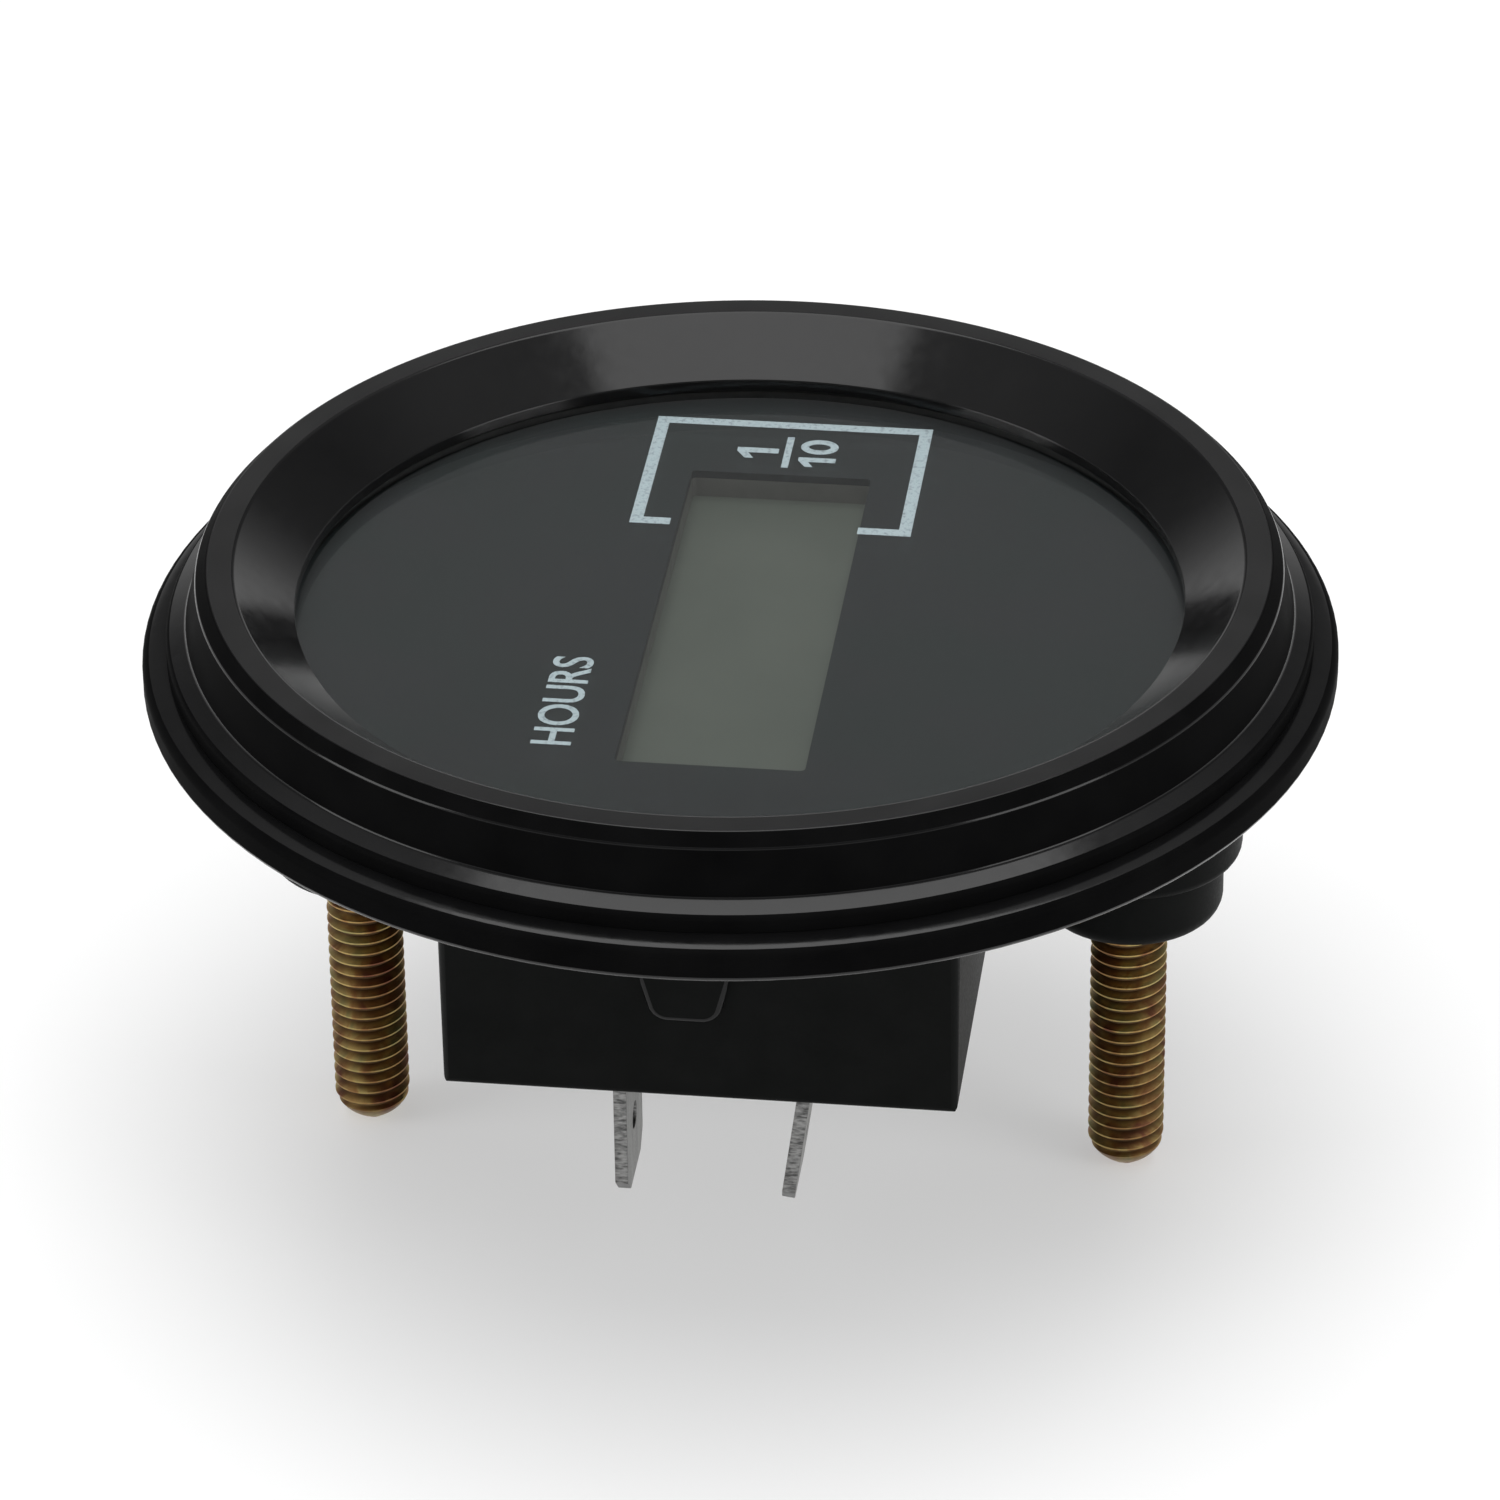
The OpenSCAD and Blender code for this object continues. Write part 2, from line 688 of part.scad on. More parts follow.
module display_frame() color([0.13, 0.13, 0.13]) {
    skirt_h = polariser_z - board_z;
    difference() {
        union() {
            translate([0, 0, polariser_z]) plate(frame_l, frame_w, frame_plate_t);
            translate([0, 0, board_z]) {
                linear_extrude(skirt_h) difference() {
                    rounded_rect(frame_l, frame_w, sheet_round);
                    rounded_rect(frame_l - 2 * frame_wall, frame_w - 2 * frame_wall, sheet_round);
                }
                linear_extrude(skirt_h) intersection() {
                    frame_pocket(frame_wall);
                    rounded_rect(frame_l, frame_w, sheet_round);
                }
                at_screws() cylinder(d = screw_d + 2 * screw_boss_wall, h = skirt_h);
            }
        }
        at_window() translate([0, 0, polariser_z - CUT]) plate(window_l, window_h, frame_plate_t + 2 * CUT);
        translate([0, 0, board_z - CUT]) linear_extrude(skirt_h + CUT) frame_pocket(0);
        at_screws() translate([0, 0, board_z - CUT]) cylinder(d = screw_d, h = screw_l - board_t + CUT);
    }
}

module display_sheet(top_z, w, t, margin = 0) {
    at_window() translate([0, 0, top_z - t]) plate(glass_l - 2 * margin, w - 2 * margin, t);
}

module front_polariser() color([0.36, 0.38, 0.33]) display_sheet(polariser_z, glass_w, film_t, film_margin);

module lcd_front_glass() color([0.6, 0.65, 0.6]) display_sheet(front_glass_z, glass_w, glass_t);

module lcd_rear_glass() color([0.6, 0.65, 0.6]) display_sheet(rear_glass_z, rear_glass_w, glass_t);

module lcd_reflector() color([0.7, 0.7, 0.66]) display_sheet(reflector_z, rear_glass_w, film_t, film_margin);

module contact_strip(side) {
    at_window() translate([0, side * strip_y, board_z]) plate(strip_l, strip_w, strip_h);
}

module contact_strip_upper() color([0.75, 0.45, 0.5]) contact_strip(1);

module contact_strip_lower() color([0.75, 0.45, 0.5]) contact_strip(-1);

// Circuit board and its screws
module circuit_board() color([0.1, 0.35, 0.2]) {
    difference() {
        translate([0, 0, board_under_z]) plate(board_l, board_w, board_t);
        at_screws() translate([0, 0, board_under_z - CUT])
            cylinder(d = screw_d + 2 * screw_clear, h = board_t + 2 * CUT);
        for (side = SIDES) at_tab(side) translate([0, 0, board_under_z - CUT])
            plate(leg_w + 2 * screw_clear, tab_t + 2 * screw_clear, board_t + 2 * CUT, screw_clear);
    }
}

module board_screws() color([0.7, 0.7, 0.7]) at_screws() translate([0, 0, board_under_z]) difference() {
    rotate_extrude() rounded_outline([
        [0, -screw_head_h, 0],
        [screw_head_d / 2, -screw_head_h, screw_head_h / 2],
        [screw_head_d / 2, 0, 0],
        [screw_d / 2, 0, 0],
        [screw_d / 2, screw_l, screw_d / 4],
        [0, screw_l, 0]
    ]);
    for (turn = [0, 90]) rotate([0, 0, turn]) translate([0, 0, -screw_head_h])
        cube([screw_head_d / 2, screw_d / 5, screw_head_h], center = true);
}

// Parts soldered under the board, each drawn downwards from the board's lower face
module under_board(x, y) {
    translate([x, y, board_under_z]) mirror([0, 0, 1]) children();
}

// Row of bent leads along one side of a chip, from the body out to the board
module lead_row(count, pitch, body_t) {
    for (i = [0:count - 1]) translate([(i - (count - 1) / 2) * pitch - lead_w / 2, 0, 0]) {
        translate([0, lead_out - lead_foot, 0]) cube([lead_w, lead_foot, lead_t]);
        translate([0, lead_out - lead_foot, 0]) cube([lead_w, lead_t, body_t / 2 + lead_t]);
        translate([0, -lead_t, body_t / 2]) cube([lead_w, lead_out - lead_foot + 2 * lead_t, lead_t]);
    }
}

module chip_body(l, w, t) {
    translate([0, 0, lead_t / 2]) plate(l, w, t - lead_t / 2, chip_round);
    plate(l - 2 * lead_out, w - 2 * lead_out, lead_t, chip_round);
}

module counter_chip() color([0.12, 0.12, 0.13]) under_board(chip_x, chip_y) {
    chip_body(chip_side, chip_side, chip_t);
    for (turn = [0:90:270]) rotate([0, 0, turn]) translate([0, chip_side / 2, 0])
        lead_row(chip_leads, chip_side / (chip_leads + 1), chip_t);
}

module memory_chip() color([0.12, 0.12, 0.13]) under_board(memory_x, memory_y) {
    chip_body(memory_w, memory_l, memory_t);
    for (turn = [90, 270]) rotate([0, 0, turn]) translate([0, memory_w / 2, 0])
        lead_row(memory_leads, memory_l / (memory_leads + 1), memory_t);
}

// Plate whose ends are full half rounds
module oval_plate(l, w, t) {
    plate(l, w, t, w / 2 - STRAIGHT_SPARE);
}

module quartz_crystal() color([0.75, 0.75, 0.75]) under_board(crystal_x, crystal_y) {
    oval_plate(crystal_l, crystal_w, crystal_rim_h);
    oval_plate(crystal_l - 2 * crystal_rim, crystal_w - 2 * crystal_rim, crystal_h);
}

module reservoir_capacitor() color([0.15, 0.2, 0.35]) under_board(can_x, can_y) {
    can_r = can_d / 2;
    rotate_extrude() rounded_outline([
        [0, 0, 0],
        [can_r, 0, 0],
        [can_r, can_groove_h - can_groove, 0],
        [can_r - can_groove, can_groove_h, 0],
        [can_r, can_groove_h + can_groove, 0],
        [can_r, can_h, can_round],
        [0, can_h, 0]
    ]);
}

module resistor_body() {
    end = resistor_l / 2;
    cap_end = end - resistor_cap_l;
    cap_r = resistor_d / 2;
    waist_r = cap_r - resistor_waist;
    rotate_extrude() rounded_outline([
        [0, -end, 0],
        [cap_r, -end, resistor_round],
        [cap_r, -cap_end, resistor_round / 2],
        [waist_r, -cap_end + resistor_waist, 0],
        [waist_r, cap_end - resistor_waist, 0],
        [cap_r, cap_end, resistor_round / 2],
        [cap_r, end, resistor_round],
        [0, end, 0]
    ]);
}

module dropper_resistor() color([0.75, 0.68, 0.5]) under_board(resistor_x, resistor_y) {
    axis_z = resistor_stand + resistor_d / 2;
    translate([0, 0, axis_z]) rotate([0, 90, 0]) {
        resistor_body();
        cylinder(d = resistor_wire_d, h = resistor_span, center = true);
    }
    for (side = SIDES) translate([side * resistor_span / 2, 0, 0]) {
        cylinder(d = resistor_wire_d, h = axis_z);
        translate([0, 0, axis_z]) sphere(d = resistor_wire_d);
    }
}

module bridge_rectifier() color([0.1, 0.1, 0.1]) under_board(bridge_x, bridge_y) {
    plate(bridge_l, bridge_w, bridge_h);
    for (side = SIDES, end = SIDES) translate([side * bridge_l / 2, end * bridge_pitch / 2, 0])
        translate([-lead_t, -bridge_lead_w / 2, 0]) cube([2 * lead_t, bridge_lead_w, bridge_h / 2]);
}

module surge_varistor() color([0.2, 0.3, 0.6]) under_board(varistor_x, varistor_y) {
    disc_r = varistor_d / 2;
    axis_z = varistor_stand + disc_r;
    translate([0, 0, axis_z]) rotate([90, 0, 0]) rotate_extrude() rounded_outline([
        [0, -varistor_t / 2, 0],
        [disc_r, -varistor_t / 2, varistor_round],
        [disc_r, varistor_t / 2, varistor_round],
        [0, varistor_t / 2, 0]
    ]);
    for (side = SIDES) translate([side * varistor_pitch / 2, 0, 0]) cylinder(d = varistor_wire_d, h = axis_z);
}

module voltage_regulator() color([0.12, 0.12, 0.12]) under_board(regulator_x, regulator_y) {
    translate([0, 0, regulator_stand]) linear_extrude(regulator_h) difference() {
        circle(d = regulator_d);
        translate([-regulator_d / 2 - CUT, regulator_flat]) square([regulator_d + 2 * CUT, regulator_d / 2]);
    }
    for (i = [-1:1]) translate([i * regulator_pitch - regulator_lead_w / 2, -regulator_lead_w / 2, 0])
        cube([regulator_lead_w, regulator_lead_w, regulator_stand + lead_t]);
}

case();
bezel();
lens();
lens_seal();
dial_plate();
mounting_studs();
terminal_upper();
terminal_lower();
display_frame();
front_polariser();
lcd_front_glass();
lcd_rear_glass();
lcd_reflector();
contact_strip_upper();
contact_strip_lower();
circuit_board();
board_screws();
counter_chip();
memory_chip();
quartz_crystal();
reservoir_capacitor();
dropper_resistor();
bridge_rectifier();
surge_varistor();
voltage_regulator();
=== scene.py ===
"""Looks of a round panel-mounted hour meter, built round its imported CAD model."""

import json
import math

import bpy
from mathutils import Matrix, Vector


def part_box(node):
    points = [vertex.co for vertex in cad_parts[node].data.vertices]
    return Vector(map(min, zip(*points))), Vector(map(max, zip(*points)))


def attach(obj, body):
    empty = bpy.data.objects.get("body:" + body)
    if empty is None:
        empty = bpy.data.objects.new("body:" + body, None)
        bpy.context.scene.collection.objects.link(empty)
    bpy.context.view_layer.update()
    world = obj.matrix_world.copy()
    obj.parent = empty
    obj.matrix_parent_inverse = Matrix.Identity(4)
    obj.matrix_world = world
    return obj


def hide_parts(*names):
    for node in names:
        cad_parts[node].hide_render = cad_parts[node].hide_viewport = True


# A millimetre in Blender's metres, and the distance in metres within which points are merged
MM = 0.001
MERGE = 1e-6

# Millimetres that still count as touching, and degrees that still count as flat
TOUCH = 0.01
FLAT_ANGLE = 0.4

# Shading: the degrees up to which a bend reads as round, and how much large faces count
SMOOTH_ANGLE = 32
FLAT_FACE_WEIGHT = 100

BODY = "root"

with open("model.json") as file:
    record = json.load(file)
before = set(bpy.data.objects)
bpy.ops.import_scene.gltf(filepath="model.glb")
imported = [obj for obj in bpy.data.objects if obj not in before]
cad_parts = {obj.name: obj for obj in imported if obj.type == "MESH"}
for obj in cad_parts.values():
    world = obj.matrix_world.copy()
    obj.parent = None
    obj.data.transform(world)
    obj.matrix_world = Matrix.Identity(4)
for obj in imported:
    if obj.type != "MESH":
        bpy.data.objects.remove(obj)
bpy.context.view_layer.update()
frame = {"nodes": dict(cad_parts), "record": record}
nodes = frame["nodes"]


# Places and sizes that the frame gives, in millimetres


def node_box(name):
    """Lowest and highest corner of a CAD node."""
    low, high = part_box(name)
    return low / MM, high / MM


ring_low, ring_high = node_box("bezel")
stud_low, stud_high = node_box("mounting_studs")
lens_high = node_box("lens")[1]
dial_high = node_box("dial_plate")[1]
stud_mount = next(mount for mount in frame["record"]["mounts"] if mount["name"] == "studs")

FOOT_R = ring_high.x
FLANGE_Z = ring_low.z
CREST_Z = ring_high.z
LENS_R = lens_high.x
LENS_TOP_Z = lens_high.z
DIAL_TOP_Z = dial_high.z
STUD_Y = stud_mount["dims"]["pcd_mm"] / 2
STUD_R = stud_mount["dims"]["stud_r_mm"]
BOSS_END_Z = stud_mount["pos_m"][2] / MM
STUD_TIP_Z = stud_low.z
HEAD_TOP_Z = stud_high.z
HEAD_FLATS = 2 * (stud_high.y - STUD_Y)

# Bezel ring, in millimetres: the steps of its section, from the foot up and inwards
FOOT_HEIGHT = 1.0
LEDGE_WIDTH = 1.2
LEDGE_RISE = 0.5
WALL_LEAN = 0.7
BEVEL_WIDTH = 0.7
BEVEL_HEIGHT = 0.75
CREST_WIDTH = 1.6
CONE_WIDTH = 3.6
LIP_THICKNESS = 0.65
LENS_CLEARANCE = 0.1
GROOVE_WALL = 1.25
GROOVE_WIDTH = 1.3
GROOVE_DEPTH = 2.05
RING_STEPS = 240

# Radius and height of each corner of that section
LEDGE_Z = FLANGE_Z + FOOT_HEIGHT
FOOT_EDGE = (FOOT_R, LEDGE_Z)
FOOT_UNDER = (FOOT_R, FLANGE_Z)
WALL_ROOT = (FOOT_R - LEDGE_WIDTH, LEDGE_Z + LEDGE_RISE)
BEVEL_EDGE = (WALL_ROOT[0] - WALL_LEAN, CREST_Z - BEVEL_HEIGHT)
CREST_EDGE = (BEVEL_EDGE[0] - BEVEL_WIDTH, CREST_Z)
CREST_INNER = (CREST_EDGE[0] - CREST_WIDTH, CREST_Z)
LIP_EDGE = (CREST_INNER[0] - CONE_WIDTH, LENS_TOP_Z + LIP_THICKNESS)
POCKET_R = LENS_R + LENS_CLEARANCE
GROOVE_OUTER_R = BEVEL_EDGE[0] - GROOVE_WALL
GROOVE_INNER_R = GROOVE_OUTER_R - GROOVE_WIDTH
GROOVE_TOP_Z = FLANGE_Z + GROOVE_DEPTH

# Each rounded corner of the ring, with the width of its round and the round's steps
RING_ROUNDS = (
    (FOOT_EDGE, 0.24, 4),
    (WALL_ROOT, 0.12, 3),
    (BEVEL_EDGE, 0.08, 4),
    (CREST_EDGE, 0.11, 4),
    (CREST_INNER, 0.15, 4),
    (LIP_EDGE, 0.07, 3),
    (FOOT_UNDER, 0.06, 2),
)

# Which faces of the ring take which finish: lengths in millimetres, slopes as a normal's rise
RING_FINISHES = ("gloss", "wall", "crest")
CREST_SLOPE = 0.99
LEDGE_SLOPE = 0.88
LEDGE_LAP = 0.2
EDGE_REACH = 0.12

# Case, in the same units
CASE_FINISHES = ("case", "gloss", "wall")
FLANGE_LAP = 0.1
FLANGE_TOP_SLOPE = 0.93
FLANGE_UNDER_SLOPE = -0.3
BOX_START_Z = -2.0
TONGUE_START_Z = -0.05
TONGUE_SOFT = 0.4
TONGUE_STEPS = 3
TONGUE_TILT = (0.2, 0.98)

# Terminal tabs, in millimetres and degrees, and the share of a normal that points across the tab
TAB_FINISHES = ("face", "edge")
TAB_FACE_SHARE = 0.7
TAB_BREAK = 0.07
TAB_BREAK_STEPS = 2
TAB_BREAK_ANGLE = 40

# Studs, in millimetres: the thread's flats are shares of half a pitch
SHANK_R = 2.1
STUD_TIP_LENGTH = 1.9
STUD_TIP_R = 0.9
HEAD_HEIGHT = 3.0
SHOULDER = 0.02
THREAD_PITCH = 0.794
THREAD_DEPTH = 0.42
THREAD_CREST = 0.14
THREAD_FLANK = 0.66
THREAD_SIDES = 64
THREAD_ROWS = 8
STUD_SMOOTH_ANGLE = 40

# Dial print, in millimetres on the dial
INK = 0.02
BRACKET_X = (10.5, 24.1)
BRACKET_Y = (-9.2, 8.2)
BRACKET_STROKE = 0.78
BRACKET_LOWER_HOOK = 3.3
BRACKET_UPPER_HOOK = 2.5
HOURS_X = (-16.0, -5.9)
HOURS_Y = (7.95, 10.4)
HOURS_WEIGHT = 0.012
LETTER_STEPS = 5
FIGURE_ONE = (
    (0.7, 0.0),
    (1.3, 0.0),
    (1.3, 2.6),
    (0.85, 2.6),
    (0.0, 2.05),
    (0.0, 1.5),
    (0.7, 1.9),
)
UPPER_ONE = (19.35, 0.12)
LOWER_ONE = (18.55, -3.55)
LOWER_SCALE = 0.9
NOUGHT = (21.1, -2.38)
NOUGHT_OUTER = (0.92, 1.18)
NOUGHT_INNER = (0.4, 0.68)
NOUGHT_SIDES = 40
TENTH_BAR_X = (18.3, 22.2)
TENTH_BAR_Y = (-0.68, -0.24)

# Camera, in millimetres and degrees
CAMERA_DISTANCE = 447.4
CAMERA_AZIMUTH = 7.62
CAMERA_ELEVATION = 30.65
CAMERA_ROLL = -0.816
AIM_DOWN = 0.703
AIM_RIGHT = 0.073
LENS_LENGTH = 177.7
SENSOR_WIDTH = 36
NEAREST_SEEN = 10

# Floor, in millimetres, and the white share that the camera sees in it
FLOOR_GAP = 0.02
FLOOR_SIDE = 6000
FLOOR_WHITE = 0.4

# Lamps, in metres, degrees and watts
LAMP_HEIGHT = 0.9
LAMP_DEPTH = 0.95
LAMP_WIDTH = 0.72
LAMP_POWER = 7.6
FILL_DISTANCE = 0.8
FILL_HEIGHT = 0.24
FILL_TURN = 112.5
FILL_SIDE = 0.42
FILL_POWER = 2.2

# Room behind the lamps: how far a direction rises, and the grey there
WORLD_BANDS = ((0.15, 0.86), (0.36, 0.20), (0.58, 0.20), (0.80, 0.65))


# Steps that every piece goes through


def deselect():
    bpy.ops.object.select_all(action="DESELECT")


def pick(obj):
    """Selects one object alone and makes it the active one."""
    deselect()
    obj.select_set(True)
    bpy.context.view_layer.objects.active = obj


def start_edit(obj):
    pick(obj)
    bpy.ops.object.mode_set(mode="EDIT")


def start_edit_all(obj):
    start_edit(obj)
    bpy.ops.mesh.select_all(action="SELECT")


def end_edit():
    bpy.ops.object.mode_set(mode="OBJECT")


def tidy_mesh(obj):
    """Merges doubled points and turns every face outwards."""
    start_edit_all(obj)
    bpy.ops.mesh.remove_doubles(threshold=MERGE)
    bpy.ops.mesh.normals_make_consistent(inside=False)
    end_edit()


def apply_place(obj):
    """Moves the object's place, turn and scale into its mesh."""
    pick(obj)
    bpy.ops.object.transform_apply(location=True, rotation=True, scale=True)


def smooth(obj, angle=SMOOTH_ANGLE):
    """Rounds read as round and flats stay flat."""
    pick(obj)
    bpy.ops.object.shade_smooth_by_angle(angle=math.radians(angle))
    weighted = obj.modifiers.new("weighted", "WEIGHTED_NORMAL")
    weighted.keep_sharp = True
    weighted.weight = FLAT_FACE_WEIGHT
    bpy.ops.object.modifier_apply(modifier=weighted.name)


def duplicate(obj):
    pick(obj)
    bpy.ops.object.duplicate()
    return bpy.context.object


def join(objs):
    pick(objs[0])
    for obj in objs:
        obj.select_set(True)
    bpy.ops.object.join()
    return objs[0]


def clear_selection(mesh):
    for parts in (mesh.vertices, mesh.edges, mesh.polygons):
        parts.foreach_set("select", [False] * len(parts))


def bevel_edges(obj, wanted, width, steps):
    """Rounds the edges whose two ends both satisfy a test on their place in millimetres."""
    mesh = obj.data
    bpy.context.tool_settings.mesh_select_mode = (False, True, False)
    clear_selection(mesh)
    fits = [wanted(vertex.co / MM) for vertex in mesh.vertices]
    for edge in mesh.edges:
        edge.select = all(fits[i] for i in edge.vertices)
    start_edit(obj)
    bpy.ops.mesh.bevel(offset=width * MM, segments=steps, affect="EDGES", clamp_overlap=True)
    end_edit()


def near_circle(point, circle, reach):
    """Whether a point lies by a circle round the dial's axis, given as its radius and height."""
    radius, height = circle
    return abs(point.xy.length - radius) < reach and abs(point.z - height) < reach


def paint_faces(obj, finishes, rule):
    """Gives each face the finish that a rule names from its middle, in millimetres, and its normal."""
    for polygon in obj.data.polygons:
        polygon.material_index = finishes.index(rule(polygon.center / MM, polygon.normal))


def finish_piece(obj, name, materials, slot, *replaced):
    """Names a piece, dresses its painted faces and ties it to the frame."""
    obj.name = name
    painted = [polygon.material_index for polygon in obj.data.polygons]
    obj.data.materials.clear()
    for material in materials:
        obj.data.materials.append(material)
    obj.data.polygons.foreach_set("material_index", painted)
    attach(obj, BODY)
    if replaced:
        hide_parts(*replaced)


# Materials

NOISE_SPREAD = (0.3, 0.7)
NARROW_SPREAD = (0.35, 0.65)
INNER_SPECULAR = 0.4
INNER_ROUGH_SWING = 0.06


def fill_ramp(node, stops):
    """Gives a colour ramp its places and colours, in rising order."""
    points = node.color_ramp.elements
    while len(points) < len(stops):
        points.new(0.5)
    for point, (place, colour) in zip(points, stops):
        point.position = place
        point.color = (*colour, 1)


class Shader:
    """A material whose colours and bumps come from patterns in object coordinates."""

    def __init__(self, name):
        self.material = bpy.data.materials.new(name)
        self.material.use_nodes = True
        self.nodes = self.material.node_tree.nodes
        self.surface = self.nodes["Principled BSDF"]
        self.coords = self.nodes.new("ShaderNodeTexCoord").outputs["Object"]

    def link(self, source, target):
        self.material.node_tree.links.new(source, target)

    def stretched(self, scale):
        """Object coordinates scaled along each axis."""
        mapping = self.nodes.new("ShaderNodeMapping")
        mapping.inputs["Scale"].default_value = scale
        self.link(self.coords, mapping.inputs["Vector"])
        return mapping.outputs["Vector"]

    def noise(self, size, detail=3.0, vector=None, distortion=0.0):
        """Cloudy pattern with features of about that size in millimetres."""
        node = self.nodes.new("ShaderNodeTexNoise")
        node.inputs["Scale"].default_value = 1 / (size * MM)
        node.inputs["Detail"].default_value = detail
        node.inputs["Distortion"].default_value = distortion
        self.link(vector or self.coords, node.inputs["Vector"])
        return node.outputs["Fac"]

    def ramp(self, factor, stops):
        node = self.nodes.new("ShaderNodeValToRGB")
        fill_ramp(node, stops)
        self.link(factor, node.inputs["Fac"])
        return node.outputs["Color"]

    def two_tone(self, pattern, dark, light, spread=NOISE_SPREAD):
        """Colours from dark to light, as a pattern goes across its spread."""
        return self.ramp(pattern, ((spread[0], dark), (spread[1], light)))

    def span(self, factor, low, high, start=0.0, end=1.0):
        """Maps the range low to high of a value onto start to end."""
        node = self.nodes.new("ShaderNodeMapRange")
        node.inputs["From Min"].default_value = low
        node.inputs["From Max"].default_value = high
        node.inputs["To Min"].default_value = start
        node.inputs["To Max"].default_value = end
        self.link(factor, node.inputs["Value"])
        return node.outputs["Result"]

    def mix(self, factor, first, second):
        """A blend of two colours, each a constant or a pattern."""
        node = self.nodes.new("ShaderNodeMix")
        node.data_type = "RGBA"
        self.link(factor, node.inputs["Factor"])
        for value, socket in ((first, node.inputs["A"]), (second, node.inputs["B"])):
            if isinstance(value, tuple):
                socket.default_value = (*value, 1)
            else:
                self.link(value, socket)
        return node.outputs["Result"]

    def maths(self, operation, first, second=None):
        node = self.nodes.new("ShaderNodeMath")
        node.operation = operation
        for value, socket in zip((first, second), node.inputs):
            if value is None:
                continue
            if isinstance(value, (int, float)):
                socket.default_value = value
            else:
                self.link(value, socket)
        return node.outputs["Value"]

    def axis(self, name):
        node = self.nodes.new("ShaderNodeSeparateXYZ")
        self.link(self.coords, node.inputs["Vector"])
        return node.outputs[name]

    def colour(self, source):
        self.link(source, self.surface.inputs["Base Color"])

    def roughness(self, pattern, start, end, spread=NOISE_SPREAD):
        """Roughness that goes from start to end across a pattern's spread."""
        self.link(self.span(pattern, *spread, start, end), self.surface.inputs["Roughness"])

    def bump(self, height, distance):
        """Relief of at most that height in millimetres."""
        node = self.nodes.new("ShaderNodeBump")
        node.inputs["Distance"].default_value = distance * MM
        self.link(height, node.inputs["Height"])
        self.link(node.outputs["Normal"], self.surface.inputs["Normal"])

    def set(self, **values):
        for name, value in values.items():
            self.surface.inputs[name.replace("_", " ")].default_value = value

    def specular(self, level):
        self.surface.inputs["Specular IOR Level"].default_value = level

    def show_instead(self, other, factor):
        """Mixes another surface in for the rays that a factor picks."""
        node = self.nodes.new("ShaderNodeMixShader")
        self.link(factor, node.inputs["Fac"])
        self.link(self.surface.outputs["BSDF"], node.inputs[1])
        self.link(other, node.inputs[2])
        self.link(node.outputs["Shader"], self.nodes["Material Output"].inputs["Surface"])


def plain_finish(name, dark, light, grain, rough, metallic=0.0, bump=0.0):
    """A cloudy two-tone finish, for the pieces inside the case."""
    shader = Shader(name)
    cloud = shader.noise(grain)
    shader.colour(shader.two_tone(cloud, dark, light, NARROW_SPREAD))
    shader.roughness(cloud, rough - INNER_ROUGH_SWING, rough + INNER_ROUGH_SWING)
    shader.set(Metallic=metallic)
    shader.specular(INNER_SPECULAR)
    if bump:
        shader.bump(shader.noise(grain / 4), bump)
    return shader.material


def gloss_plastic():
    """Polished black moulding with a faint ripple and fine handling marks."""
    shader = Shader("gloss_plastic")
    cloud = shader.noise(6.0)
    shader.colour(shader.two_tone(cloud, (0.0034, 0.0034, 0.0036), (0.0052, 0.0052, 0.0054)))
    shader.roughness(shader.noise(0.9, detail=6.0), 0.10, 0.17)
    shader.bump(shader.noise(1.6), 0.004)
    shader.specular(0.22)
    return shader.material


def crest_plastic():
    """The ring's crest, dulled by handling."""
    shader = Shader("crest_plastic")
    cloud = shader.noise(5.0, detail=4.0)
    shader.colour(shader.two_tone(cloud, (0.0042, 0.0042, 0.0044), (0.0060, 0.0060, 0.0062)))
    shader.roughness(cloud, 0.28, 0.34)
    shader.specular(0.42)
    return shader.material


def shaded_wall_plastic():
    """Upright walls of the same moulding, painted a darker black as painted shade, and all but
    unreflecting.
    """
    shader = Shader("shaded_wall_plastic")
    cloud = shader.noise(4.0, detail=4.0)
    shader.colour(shader.two_tone(cloud, (0.0024, 0.0024, 0.0025), (0.0038, 0.0038, 0.0039)))
    shader.roughness(cloud, 0.46, 0.56)
    shader.specular(0.006)
    return shader.material


def case_plastic():
    """Dull black moulding with a fine grain, behind the panel."""
    shader = Shader("case_plastic")
    cloud = shader.noise(3.0, detail=4.0)
    shader.colour(shader.two_tone(cloud, (0.0028, 0.0032, 0.0030), (0.0044, 0.0048, 0.0046)))
    grain = shader.noise(0.18, detail=2.0)
    shader.roughness(grain, 0.42, 0.52)
    shader.bump(grain, 0.005)
    shader.specular(0.045)
    return shader.material


def clear_lens():
    """Clear plastic that lets the lamp light the dial under it."""
    shader = Shader("clear_lens")
    haze = shader.noise(0.7, detail=5.0)
    shader.colour(shader.two_tone(haze, (0.97, 0.985, 0.98), (0.99, 0.995, 0.99)))
    shader.roughness(haze, 0.0, 0.02, spread=(0.55, 0.75))
    shader.set(Transmission_Weight=1.0, IOR=1.49)
    clear = shader.nodes.new("ShaderNodeBsdfTransparent")
    clear.inputs["Color"].default_value = (0.93, 0.95, 0.94, 1)
    rays = shader.nodes.new("ShaderNodeLightPath").outputs
    shader.show_instead(clear.outputs["BSDF"], rays["Is Shadow Ray"])
    return shader.material


